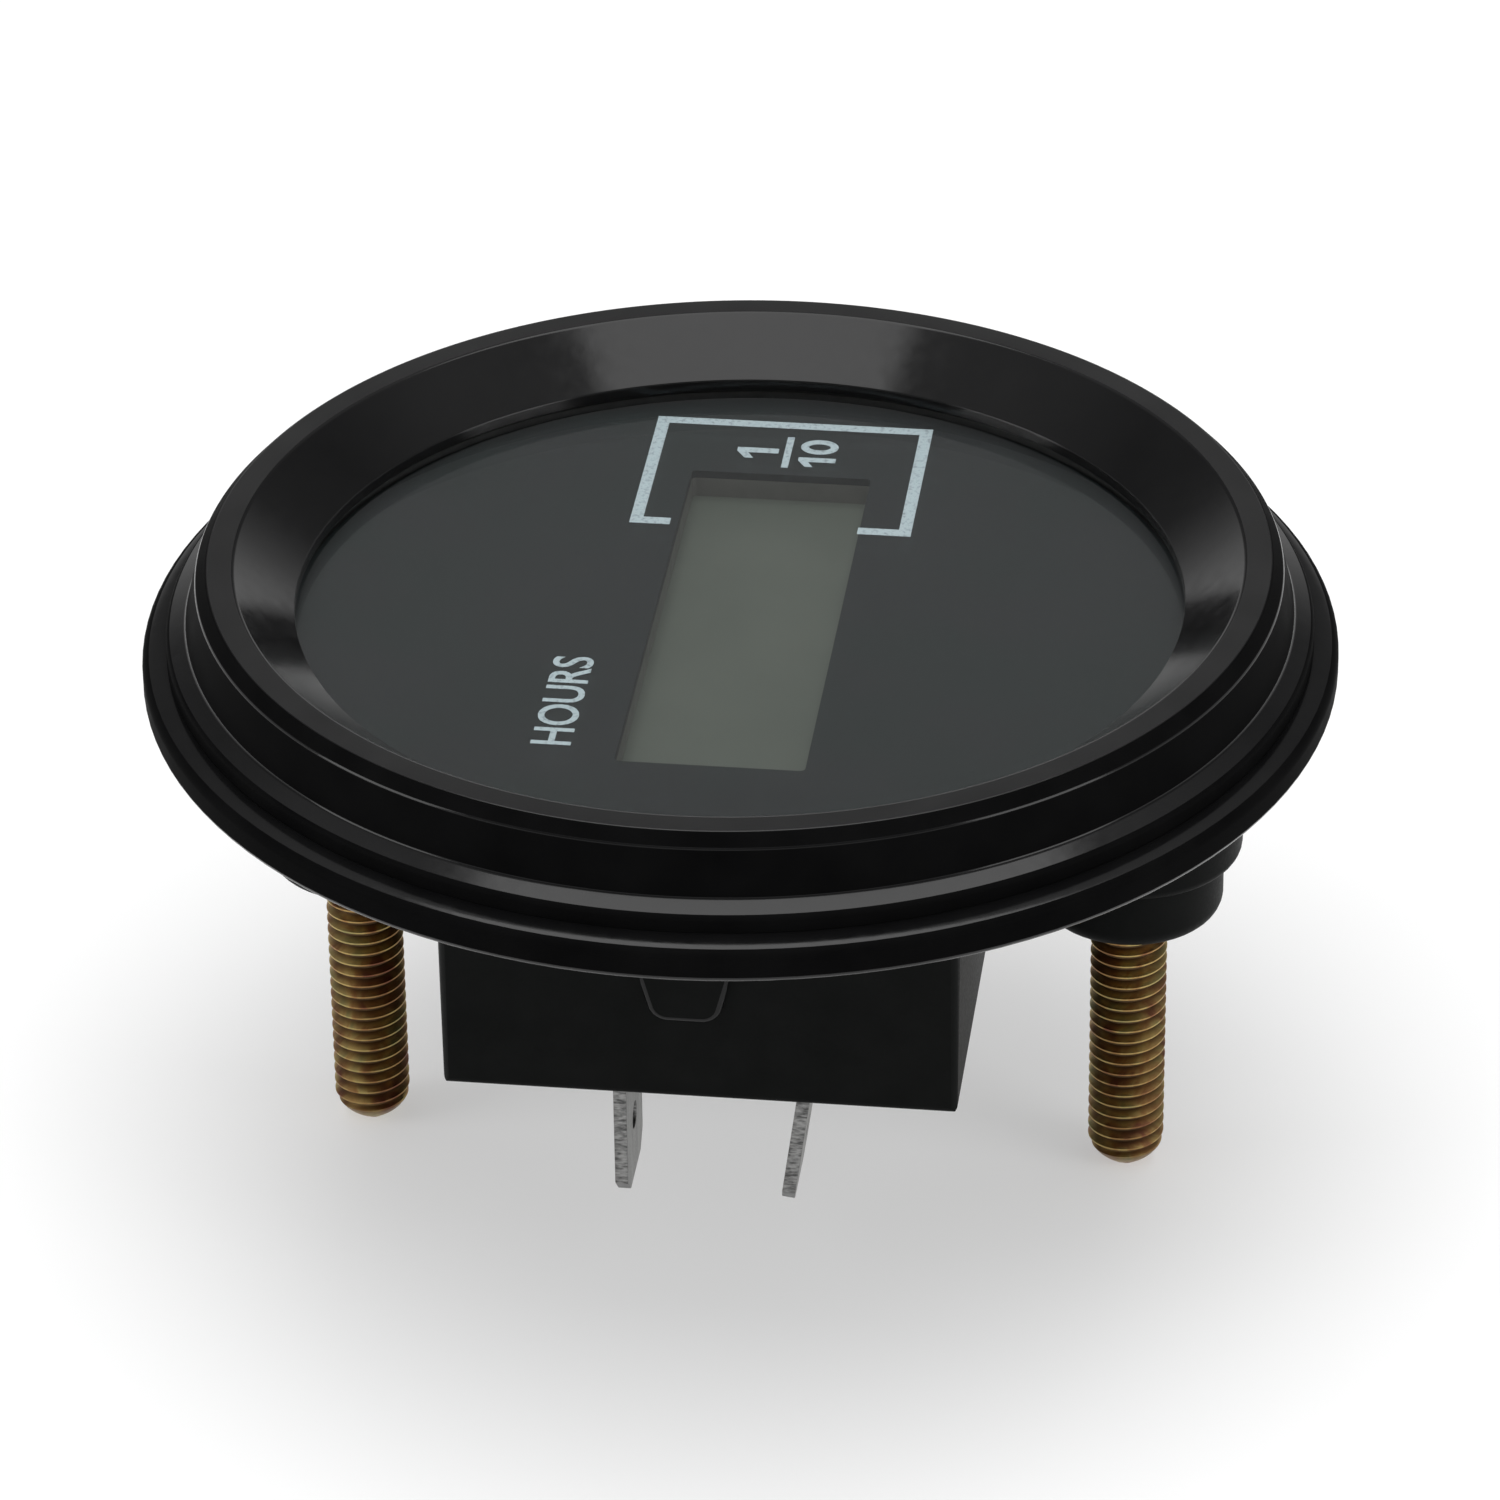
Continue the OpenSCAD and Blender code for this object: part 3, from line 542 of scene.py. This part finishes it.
def dial_finish():
    """Dark grey-green satin coat with a fine grain."""
    shader = Shader("dial_finish")
    grain = shader.noise(0.12, detail=2.0)
    cloud = shader.noise(9.0)
    green = shader.two_tone(grain, (0.0034, 0.0066, 0.0067), (0.0058, 0.0097, 0.0099))
    grey = shader.two_tone(grain, (0.0048, 0.0067, 0.0076), (0.0073, 0.0094, 0.0105))
    shader.colour(shader.mix(shader.span(cloud, 0.4, 0.6), green, grey))
    shader.roughness(grain, 0.42, 0.55)
    shader.bump(grain, 0.004)
    shader.specular(0.12)
    return shader.material


def print_ink():
    """Pale screen-printed ink with slightly uneven cover."""
    shader = Shader("print_ink")
    cover = shader.noise(0.28, detail=4.0)
    shader.colour(shader.two_tone(cover, (0.21, 0.25, 0.27), (0.38, 0.455, 0.49), spread=(0.28, 0.5)))
    shader.roughness(cover, 0.5, 0.65)
    shader.bump(cover, 0.006)
    shader.specular(0.3)
    return shader.material


def display_film():
    """Grey-green face of the blank display."""
    shader = Shader("display_film")
    cloud = shader.noise(7.0)
    shader.colour(shader.two_tone(cloud, (0.062, 0.071, 0.060), (0.070, 0.079, 0.067), NARROW_SPREAD))
    shader.roughness(shader.noise(0.3), 0.28, 0.36)
    shader.specular(0.25)
    return shader.material


def yellow_zinc():
    """Gold and olive passivated zinc with brown patches, and painted shade in the thread's root."""
    shader = Shader("yellow_zinc")
    patch = shader.noise(2.6, detail=4.0, distortion=1.2)
    stops = (
        (0.32, (0.21, 0.085, 0.05)),
        (0.44, (0.34, 0.195, 0.075)),
        (0.56, (0.45, 0.33, 0.125)),
        (0.70, (0.29, 0.265, 0.115)),
    )
    across = shader.maths("SUBTRACT", shader.maths("ABSOLUTE", shader.axis("Y")), STUD_Y * MM)
    along = shader.axis("X")
    squares = shader.maths("ADD", shader.maths("POWER", across, 2.0), shader.maths("POWER", along, 2.0))
    radius = shader.maths("SQRT", squares)
    # Painted shade in the thread's root: dark brown at the root's radius, fading to the patch colours
    # towards the crest; the tip is left out
    on_thread = shader.span(radius, (STUD_R - THREAD_DEPTH) * MM, STUD_R * MM)
    tip_start = (STUD_TIP_Z + STUD_TIP_LENGTH) * MM
    on_tip = shader.span(shader.axis("Z"), tip_start, STUD_TIP_Z * MM)
    clear_of_root_shade = shader.maths("MAXIMUM", on_thread, on_tip)
    shader.colour(shader.mix(clear_of_root_shade, (0.085, 0.052, 0.028), shader.ramp(patch, stops)))
    grime = shader.noise(0.35, detail=5.0)
    shader.roughness(grime, 0.32, 0.48)
    shader.set(Metallic=1.0)
    shader.bump(grime, 0.008)
    return shader.material


def tinned_brass(name, size, stretch, dark, light, spread):
    """Dull tin with streaks of one size and direction, over the grain of the sheet."""
    shader = Shader(name)
    streak = shader.noise(size, detail=5.0, vector=shader.stretched(stretch))
    shader.colour(shader.two_tone(streak, dark, light, spread))
    grain = shader.noise(0.16, detail=5.0, vector=shader.stretched((1.0, 0.3, 1.0)))
    shader.roughness(grain, 0.34, 0.5)
    shader.set(Metallic=1.0)
    shader.bump(grain, 0.006)
    return shader.material


def tab_faces():
    """Streaks drawn along the tab."""
    dark, light = (0.20, 0.20, 0.195), (0.31, 0.31, 0.30)
    return tinned_brass("tab_faces", 0.5, (1.0, 1.0, 0.12), dark, light, NOISE_SPREAD)


def tab_edges():
    """Darker edges that the stamping tool tore."""
    dark, light = (0.080, 0.080, 0.079), (0.30, 0.30, 0.295)
    return tinned_brass("tab_edges", 0.16, (1.0, 0.3, 1.0), dark, light, NARROW_SPREAD)


# Bezel, case and tabs


def ring_section():
    """Corners of the ring's section, round from the lens pocket."""
    return (
        (POCKET_R, FLANGE_Z),
        (GROOVE_INNER_R, FLANGE_Z),
        (GROOVE_INNER_R, GROOVE_TOP_Z),
        (GROOVE_OUTER_R, GROOVE_TOP_Z),
        (GROOVE_OUTER_R, FLANGE_Z),
        FOOT_UNDER,
        FOOT_EDGE,
        WALL_ROOT,
        BEVEL_EDGE,
        CREST_EDGE,
        CREST_INNER,
        LIP_EDGE,
        (LIP_EDGE[0], LENS_TOP_Z),
        (POCKET_R, LENS_TOP_Z),
    )


def ring_finish(middle, normal):
    """A dulled crest, walls in the darker painted-shade copy of the moulding, and polish on the cone, the
    ledge and the walls' edges.
    """
    if normal.z > CREST_SLOPE and middle.z > CREST_Z - TOUCH:
        return "crest"
    radius = middle.xy.length
    on_ledge = radius > WALL_ROOT[0] - LEDGE_LAP and normal.z > LEDGE_SLOPE
    on_edge = any(near_circle(middle, edge, EDGE_REACH) for edge in (BEVEL_EDGE, WALL_ROOT))
    # Upright faces take the darker copy of the moulding, as painted shade
    return "gloss" if radius < CREST_EDGE[0] or on_ledge or on_edge else "wall"


def round_corner(ring, corner, width, steps):
    """Rounds the ring all along one corner of its section."""
    bevel_edges(ring, lambda point: near_circle(point, corner, TOUCH), width, steps)


def make_bezel():
    """The ring's section spun round the dial's axis, then its corners rounded."""
    section = ring_section()
    deselect()
    bpy.ops.mesh.primitive_circle_add(vertices=len(section), radius=MM)
    ring = bpy.context.object
    for vertex, (radius, height) in zip(ring.data.vertices, section):
        vertex.co = (radius * MM, 0, height * MM)
    start_edit_all(ring)
    bpy.ops.mesh.spin(steps=RING_STEPS, angle=2 * math.pi, center=(0, 0, 0), axis=(0, 0, 1))
    end_edit()
    tidy_mesh(ring)
    for corner, width, steps in RING_ROUNDS:
        round_corner(ring, corner, width, steps)
    paint_faces(ring, RING_FINISHES, ring_finish)
    smooth(ring)
    return ring


def copy_of(node):
    """A merged copy of a CAD node, with its flats as single faces, for finer edges."""
    piece = duplicate(nodes[node])
    for key in list(piece.keys()):
        del piece[key]
    piece.parent = None
    start_edit_all(piece)
    bpy.ops.mesh.customdata_custom_splitnormals_clear()
    bpy.ops.mesh.remove_doubles(threshold=MERGE)
    bpy.ops.mesh.dissolve_limited(angle_limit=math.radians(FLAT_ANGLE))
    end_edit()
    return piece


def make_case():
    """The moulding with the end tongues' edges softened, and its flange polished."""
    shell = copy_of("case")
    points = [vertex.co / MM for vertex in shell.data.vertices]
    tongue_x = max(abs(point.x) for point in points if point.z < BOX_START_Z)

    def on_tongue(point):
        return abs(point.x) > tongue_x - TOUCH and point.z < TONGUE_START_Z

    def case_finish(middle, normal):
        if middle.z > TOUCH and middle.xy.length > FOOT_R - FLANGE_LAP:
            # The flange's sides take the darker copy of the moulding, as painted shade
            return "gloss" if normal.z > FLANGE_TOP_SLOPE or normal.z < FLANGE_UNDER_SLOPE else "wall"
        by_edge = tongue_x - TONGUE_SOFT < abs(middle.x) < tongue_x - TOUCH
        tilted = TONGUE_TILT[0] < abs(normal.x) < TONGUE_TILT[1]
        return "gloss" if by_edge and tilted and middle.z < TONGUE_START_Z else "case"

    bevel_edges(shell, on_tongue, TONGUE_SOFT, TONGUE_STEPS)
    paint_faces(shell, CASE_FINISHES, case_finish)
    smooth(shell)
    return shell


def tab_finish(middle, normal):
    return "face" if abs(normal.y) > TAB_FACE_SHARE else "edge"


def make_tab(node):
    """A stamped tab with its edges broken."""
    tab = copy_of(node)
    bevel = tab.modifiers.new("edges", "BEVEL")
    bevel.width = TAB_BREAK * MM
    bevel.segments = TAB_BREAK_STEPS
    bevel.angle_limit = math.radians(TAB_BREAK_ANGLE)
    pick(tab)
    bpy.ops.object.modifier_apply(modifier=bevel.name)
    paint_faces(tab, TAB_FINISHES, tab_finish)
    smooth(tab)
    return tab


# Studs


def thread_radius(height, angle):
    """Radius of the rolled thread, with narrow flats at its crest and root and a rounded tip."""
    turn = (height / THREAD_PITCH - angle / (2 * math.pi)) % 1.0
    side = abs(turn - 0.5) * 2
    depth = min(max((side - THREAD_CREST) / THREAD_FLANK, 0.0), 1.0)
    thread = STUD_R - THREAD_DEPTH * depth
    above_tip = (height - STUD_TIP_Z) / STUD_TIP_LENGTH
    if above_tip >= 1:
        return thread
    envelope = STUD_R - (STUD_R - STUD_TIP_R) * (1 - max(above_tip, 0.0)) ** 2
    return min(thread, envelope)


def shank_radius(angle):
    return SHANK_R


def head_radius(angle):
    """Radius of the hexagon head, with a corner along the reading direction."""
    sixth = math.pi / 3
    return HEAD_FLATS / 2 / math.cos(angle % sixth - sixth / 2)


def cut_square(obj, height, outwards):
    """Cuts a piece off square at a height and closes the end."""
    start_edit_all(obj)
    bpy.ops.mesh.bisect(
        plane_co=(0, 0, height * MM),
        plane_no=(0, 0, outwards),
        use_fill=True,
        clear_outer=True,
        threshold=MERGE,
    )
    end_edit()


def roll_thread():
    """A grid rolled up along the thread's helix and cut off square at both ends."""
    # It starts two turns below the tip, half a row off, so that rows fall in pairs on the thread's flats
    first = math.floor(STUD_TIP_Z / THREAD_PITCH) - 2 + 0.5 / THREAD_ROWS
    rows = math.ceil(BOSS_END_Z / THREAD_PITCH - first) * THREAD_ROWS
    deselect()
    bpy.ops.mesh.primitive_grid_add(x_subdivisions=THREAD_SIDES, y_subdivisions=rows, size=2)
    thread = bpy.context.object
    for vertex in thread.data.vertices:
        angle = (vertex.co.x + 1) * math.pi
        row = round((vertex.co.y + 1) / 2 * rows)
        height = (first + row / THREAD_ROWS + angle / (2 * math.pi)) * THREAD_PITCH
        radius = thread_radius(height, angle)
        vertex.co = (radius * math.cos(angle) * MM, radius * math.sin(angle) * MM, height * MM)
    tidy_mesh(thread)
    cut_square(thread, STUD_TIP_Z, -1)
    cut_square(thread, BOSS_END_Z, 1)
    return thread


def extrude_top(obj, height, radius_at):
    """Draws a piece's top face up to a height and gives it a new outline there."""
    mesh = obj.data
    bpy.context.tool_settings.mesh_select_mode = (False, False, True)
    clear_selection(mesh)
    highest = max(vertex.co.z for vertex in mesh.vertices)
    for polygon in mesh.polygons:
        polygon.select = min(mesh.vertices[i].co.z for i in polygon.vertices) > highest - MERGE
    start_edit(obj)
    step = height * MM - highest
    bpy.ops.mesh.extrude_region_move(TRANSFORM_OT_translate={"value": (0, 0, step)})
    end_edit()
    for vertex in mesh.vertices:
        if vertex.co.z > height * MM - MERGE:
            angle = math.atan2(vertex.co.y, vertex.co.x)
            radius = radius_at(angle) * MM
            vertex.co.x = radius * math.cos(angle)
            vertex.co.y = radius * math.sin(angle)


def make_stud():
    """The thread drawn up into the plain shank and the hexagon head, on the dial's axis."""
    stud = roll_thread()
    head_seat_z = HEAD_TOP_Z - HEAD_HEIGHT
    extrude_top(stud, BOSS_END_Z + SHOULDER, shank_radius)
    extrude_top(stud, head_seat_z - SHOULDER, shank_radius)
    extrude_top(stud, head_seat_z, head_radius)
    extrude_top(stud, HEAD_TOP_Z, head_radius)
    tidy_mesh(stud)
    return stud


def make_studs():
    """One stud, copied to each side of the dial's axis."""
    stud = make_stud()
    pair = [stud, duplicate(stud)]
    for piece, side in zip(pair, (-1, 1)):
        piece.location.y = side * STUD_Y * MM
        apply_place(piece)
    studs = join(pair)
    smooth(studs, STUD_SMOOTH_ANGLE)
    return studs


# Dial print


def raise_print(obj):
    """Gives a flat shape on the dial the thickness of the ink."""
    start_edit_all(obj)
    bpy.ops.mesh.extrude_region_move(TRANSFORM_OT_translate={"value": (0, 0, INK * MM)})
    end_edit()
    tidy_mesh(obj)


def flat_shape(outline, corner=(0, 0), scale=1.0):
    """One closed shape of print, from the corners of its outline on the dial."""
    deselect()
    bpy.ops.mesh.primitive_circle_add(vertices=len(outline), radius=MM, fill_type="NGON")
    shape = bpy.context.object
    for vertex, (x, y) in zip(shape.data.vertices, outline):
        vertex.co = ((corner[0] + x * scale) * MM, (corner[1] + y * scale) * MM, DIAL_TOP_Z * MM)
    raise_print(shape)
    return shape


def bracket_outline():
    """A line round three sides of the last figure, with both its ends turned in."""
    left, right = BRACKET_X
    low, high = BRACKET_Y
    inner_left, inner_right = left + BRACKET_STROKE, right - BRACKET_STROKE
    inner_low, inner_high = low + BRACKET_STROKE, high - BRACKET_STROKE
    low_end, high_end = low + BRACKET_LOWER_HOOK, high - BRACKET_UPPER_HOOK
    return (
        (left, low),
        (right, low),
        (right, high),
        (left, high),
        (left, high_end),
        (inner_left, high_end),
        (inner_left, inner_high),
        (inner_right, inner_high),
        (inner_right, inner_low),
        (inner_left, inner_low),
        (inner_left, low_end),
        (left, low_end),
    )


def bar_outline():
    """The line between the fraction's two figures."""
    left, right = TENTH_BAR_X
    low, high = TENTH_BAR_Y
    return ((left, low), (right, low), (right, high), (left, high))


def make_oval(size):
    """An oval of points on the dial, round the nought's middle."""
    deselect()
    bpy.ops.mesh.primitive_circle_add(vertices=NOUGHT_SIDES, radius=1)
    oval = bpy.context.object
    oval.location = (NOUGHT[0] * MM, NOUGHT[1] * MM, DIAL_TOP_Z * MM)
    oval.scale = (size[0] * MM, size[1] * MM, 1)
    apply_place(oval)
    return oval


def make_nought():
    """Two ovals bridged into a ring."""
    ring = join([make_oval(NOUGHT_OUTER), make_oval(NOUGHT_INNER)])
    start_edit_all(ring)
    bpy.ops.mesh.bridge_edge_loops()
    end_edit()
    raise_print(ring)
    return ring


def make_tenths():
    one = flat_shape(FIGURE_ONE, UPPER_ONE)
    bar = flat_shape(bar_outline())
    lower = flat_shape(FIGURE_ONE, LOWER_ONE, LOWER_SCALE)
    return join([one, bar, lower, make_nought()])


def make_text(words, x_range, y_range, weight):
    """Printed characters fitted into a box on the dial, as a closed mesh."""
    deselect()
    bpy.ops.object.text_add()
    text = bpy.context.object
    text.data.body = words
    text.data.offset = weight
    text.data.extrude = INK
    text.data.resolution_u = LETTER_STEPS
    bpy.ops.object.convert(target="MESH")
    piece = bpy.context.object
    points = [vertex.co.copy() for vertex in piece.data.vertices]
    low = [min(point[i] for point in points) for i in range(3)]
    high = [max(point[i] for point in points) for i in range(3)]
    ranges = (x_range, y_range, (DIAL_TOP_Z, DIAL_TOP_Z + INK))
    for vertex in piece.data.vertices:
        for i, (start, end) in enumerate(ranges):
            share = (vertex.co[i] - low[i]) / (high[i] - low[i])
            vertex.co[i] = (start + share * (end - start)) * MM
    tidy_mesh(piece)
    return piece


# All pieces


def make_pieces():
    ink = [print_ink()]
    tin = [tab_faces(), tab_edges()]
    plastics = {
        "gloss": gloss_plastic(),
        # The walls' finish is a darker copy of the moulding, as painted shade
        "wall": shaded_wall_plastic(),
        "crest": crest_plastic(),
        "case": case_plastic(),
    }
    ring_plastics = [plastics[finish] for finish in RING_FINISHES]
    case_plastics = [plastics[finish] for finish in CASE_FINISHES]
    finish_piece(make_bezel(), "bezel_ring", ring_plastics, "bezel_plastic", "bezel")
    finish_piece(make_case(), "case_shell", case_plastics, "case_plastic", "case")
    finish_piece(make_studs(), "threaded_studs", [yellow_zinc()], "zinc_yellow", "mounting_studs")
    finish_piece(make_tab("terminal_upper"), "tab_upper", tin, "tab_tin", "terminal_upper")
    finish_piece(make_tab("terminal_lower"), "tab_lower", tin, "tab_tin", "terminal_lower")
    finish_piece(flat_shape(bracket_outline()), "print_bracket", ink, "dial_print")
    hours = make_text("HOURS", HOURS_X, HOURS_Y, HOURS_WEIGHT)
    finish_piece(hours, "print_hours", ink, "dial_print")
    finish_piece(make_tenths(), "print_tenths", ink, "dial_print")


def dress_nodes():
    """Finishes of the CAD nodes that stay as they are."""
    black_rubber = plain_finish("black_rubber", (0.012, 0.012, 0.012), (0.02, 0.02, 0.02), 0.8, 0.7)
    frame_plastic = plain_finish(
        "frame_plastic", (0.064, 0.065, 0.058), (0.078, 0.079, 0.071), 1.2, 0.5, bump=0.004
    )
    cell_glass = plain_finish("cell_glass", (0.42, 0.50, 0.46), (0.50, 0.57, 0.53), 6.0, 0.1)
    foil = plain_finish("reflector_foil", (0.55, 0.55, 0.52), (0.66, 0.66, 0.63), 0.5, 0.35, metallic=1.0)
    pink_rubber = plain_finish("strip_rubber", (0.50, 0.20, 0.25), (0.58, 0.27, 0.32), 0.6, 0.6)
    laminate = plain_finish(
        "board_laminate", (0.012, 0.090, 0.035), (0.020, 0.125, 0.050), 0.9, 0.35, bump=0.01
    )
    steel = plain_finish("screw_steel", (0.45, 0.45, 0.44), (0.60, 0.60, 0.59), 0.4, 0.32, metallic=1.0)
    epoxy = plain_finish("chip_epoxy", (0.012, 0.012, 0.013), (0.022, 0.022, 0.023), 0.3, 0.55, bump=0.01)
    can = plain_finish("crystal_can", (0.52, 0.51, 0.47), (0.64, 0.63, 0.59), 1.5, 0.24, metallic=1.0)
    sleeve = plain_finish("capacitor_sleeve", (0.010, 0.018, 0.065), (0.015, 0.026, 0.090), 1.4, 0.3)
    coat = plain_finish("resistor_coat", (0.44, 0.33, 0.19), (0.54, 0.42, 0.26), 0.8, 0.45, bump=0.02)
    disc = plain_finish("varistor_coat", (0.018, 0.060, 0.26), (0.026, 0.085, 0.33), 0.9, 0.35, bump=0.02)
    finishes = {
        "lens": (clear_lens(), "lens_clear"),
        "lens_seal": (black_rubber, "seal_rubber"),
        "dial_plate": (dial_finish(), "dial_print"),
        "display_frame": (frame_plastic, "frame_plastic"),
        "front_polariser": (display_film(), "polariser_film"),
        "lcd_front_glass": (cell_glass, "display_glass"),
        "lcd_rear_glass": (cell_glass, "display_glass"),
        "lcd_reflector": (foil, "reflector_foil"),
        "contact_strip_upper": (pink_rubber, "strip_rubber"),
        "contact_strip_lower": (pink_rubber, "strip_rubber"),
        "circuit_board": (laminate, "board_laminate"),
        "board_screws": (steel, "screw_steel"),
        "counter_chip": (epoxy, "chip_epoxy"),
        "memory_chip": (epoxy, "chip_epoxy"),
        "quartz_crystal": (can, "crystal_can"),
        "reservoir_capacitor": (sleeve, "capacitor_sleeve"),
        "dropper_resistor": (coat, "resistor_coat"),
        "bridge_rectifier": (epoxy, "chip_epoxy"),
        "surge_varistor": (disc, "varistor_coat"),
        "voltage_regulator": (epoxy, "chip_epoxy"),
    }
    for name, (material, slot) in finishes.items():
        node = nodes[name]
        node.data.materials.clear()
        node.data.materials.append(material)
    # Light that bounces off the dial goes straight out through the lens
    nodes["lens"].visible_diffuse = False


# Stage


def floor_paper():
    """Pale paper that keeps a light shadow: partly plain white to the camera, metal and glass."""
    shader = Shader("floor_paper")
    shader.colour(shader.two_tone(shader.noise(60.0), (0.86, 0.86, 0.86), (0.88, 0.88, 0.88)))
    shader.set(Roughness=0.9)
    shader.specular(0.0)
    white = shader.nodes.new("ShaderNodeEmission")
    rays = shader.nodes.new("ShaderNodeLightPath").outputs
    seen = rays["Is Camera Ray"]
    for kind in ("Is Glossy Ray", "Is Transmission Ray"):
        seen = shader.maths("MAXIMUM", seen, rays[kind])
    shader.show_instead(white.outputs["Emission"], shader.maths("MULTIPLY", seen, FLOOR_WHITE))
    return shader.material


def make_floor():
    deselect()
    bpy.ops.mesh.primitive_plane_add(size=FLOOR_SIDE * MM, location=(0, 0, (STUD_TIP_Z - FLOOR_GAP) * MM))
    floor = bpy.context.object
    apply_place(floor)
    floor.name = "floor"
    floor.data.materials.append(floor_paper())


def make_world():
    """A pale wall near the horizon, a dim band above it and a paler ceiling."""
    world = bpy.data.worlds.new("studio")
    bpy.context.scene.world = world
    world.use_nodes = True
    tree = world.node_tree
    coords = tree.nodes.new("ShaderNodeTexCoord")
    split = tree.nodes.new("ShaderNodeSeparateXYZ")
    ramp = tree.nodes.new("ShaderNodeValToRGB")
    fill_ramp(ramp, [(rise, (grey, grey, grey)) for rise, grey in WORLD_BANDS])
    tree.links.new(coords.outputs["Generated"], split.inputs["Vector"])
    tree.links.new(split.outputs["Z"], ramp.inputs["Fac"])
    tree.links.new(ramp.outputs["Color"], tree.nodes["Background"].inputs["Color"])


def add_lamp(name, place, depth, width, power):
    """A soft, flat lamp that faces the object."""
    bpy.ops.object.light_add(type="AREA", location=place)
    lamp = bpy.context.object
    lamp.name = name
    lamp.rotation_euler = Vector(place).to_track_quat("Z", "Y").to_euler()
    lamp.data.shape = "RECTANGLE"
    lamp.data.size = depth
    lamp.data.size_y = width
    lamp.data.energy = power
    lamp.visible_camera = False


def make_lamps():
    """A wide lamp over the dial and a smaller one low on each side."""
    add_lamp("softbox", (0, 0, LAMP_HEIGHT), LAMP_DEPTH, LAMP_WIDTH, LAMP_POWER)
    for name, side in (("fill_left", 1), ("fill_right", -1)):
        turn = math.radians(side * FILL_TURN)
        place = (FILL_DISTANCE * math.cos(turn), FILL_DISTANCE * math.sin(turn), FILL_HEIGHT)
        add_lamp(name, place, FILL_SIDE, FILL_SIDE, FILL_POWER)


def make_camera():
    """Camera at the photo's angle: aimed at the dial's centre, then turned a little down and sideways."""
    azimuth = math.radians(CAMERA_AZIMUTH)
    elevation = math.radians(CAMERA_ELEVATION)
    roll = math.radians(CAMERA_ROLL)
    flat = math.cos(elevation)
    back = Vector((-flat * math.cos(azimuth), -flat * math.sin(azimuth), math.sin(elevation)))
    level = Vector((math.sin(azimuth), -math.cos(azimuth), 0))
    upright = back.cross(level)
    right = level * math.cos(roll) + upright * math.sin(roll)
    up = back.cross(right)
    tilt = Matrix.Rotation(math.radians(-AIM_DOWN), 3, right)
    pan = Matrix.Rotation(math.radians(-AIM_RIGHT), 3, up)
    axes = [tilt @ pan @ axis for axis in (right, up, back)]
    bpy.ops.object.camera_add(location=back * CAMERA_DISTANCE * MM)
    camera = bpy.context.object
    camera.rotation_euler = Matrix(axes).transposed().to_euler()
    camera.data.lens = LENS_LENGTH
    camera.data.sensor_width = SENSOR_WIDTH
    camera.data.clip_start = NEAREST_SEEN * MM
    bpy.context.scene.camera = camera


make_pieces()
dress_nodes()
make_floor()
make_world()
make_lamps()
make_camera()
bpy.context.scene.view_settings.view_transform = "Standard"
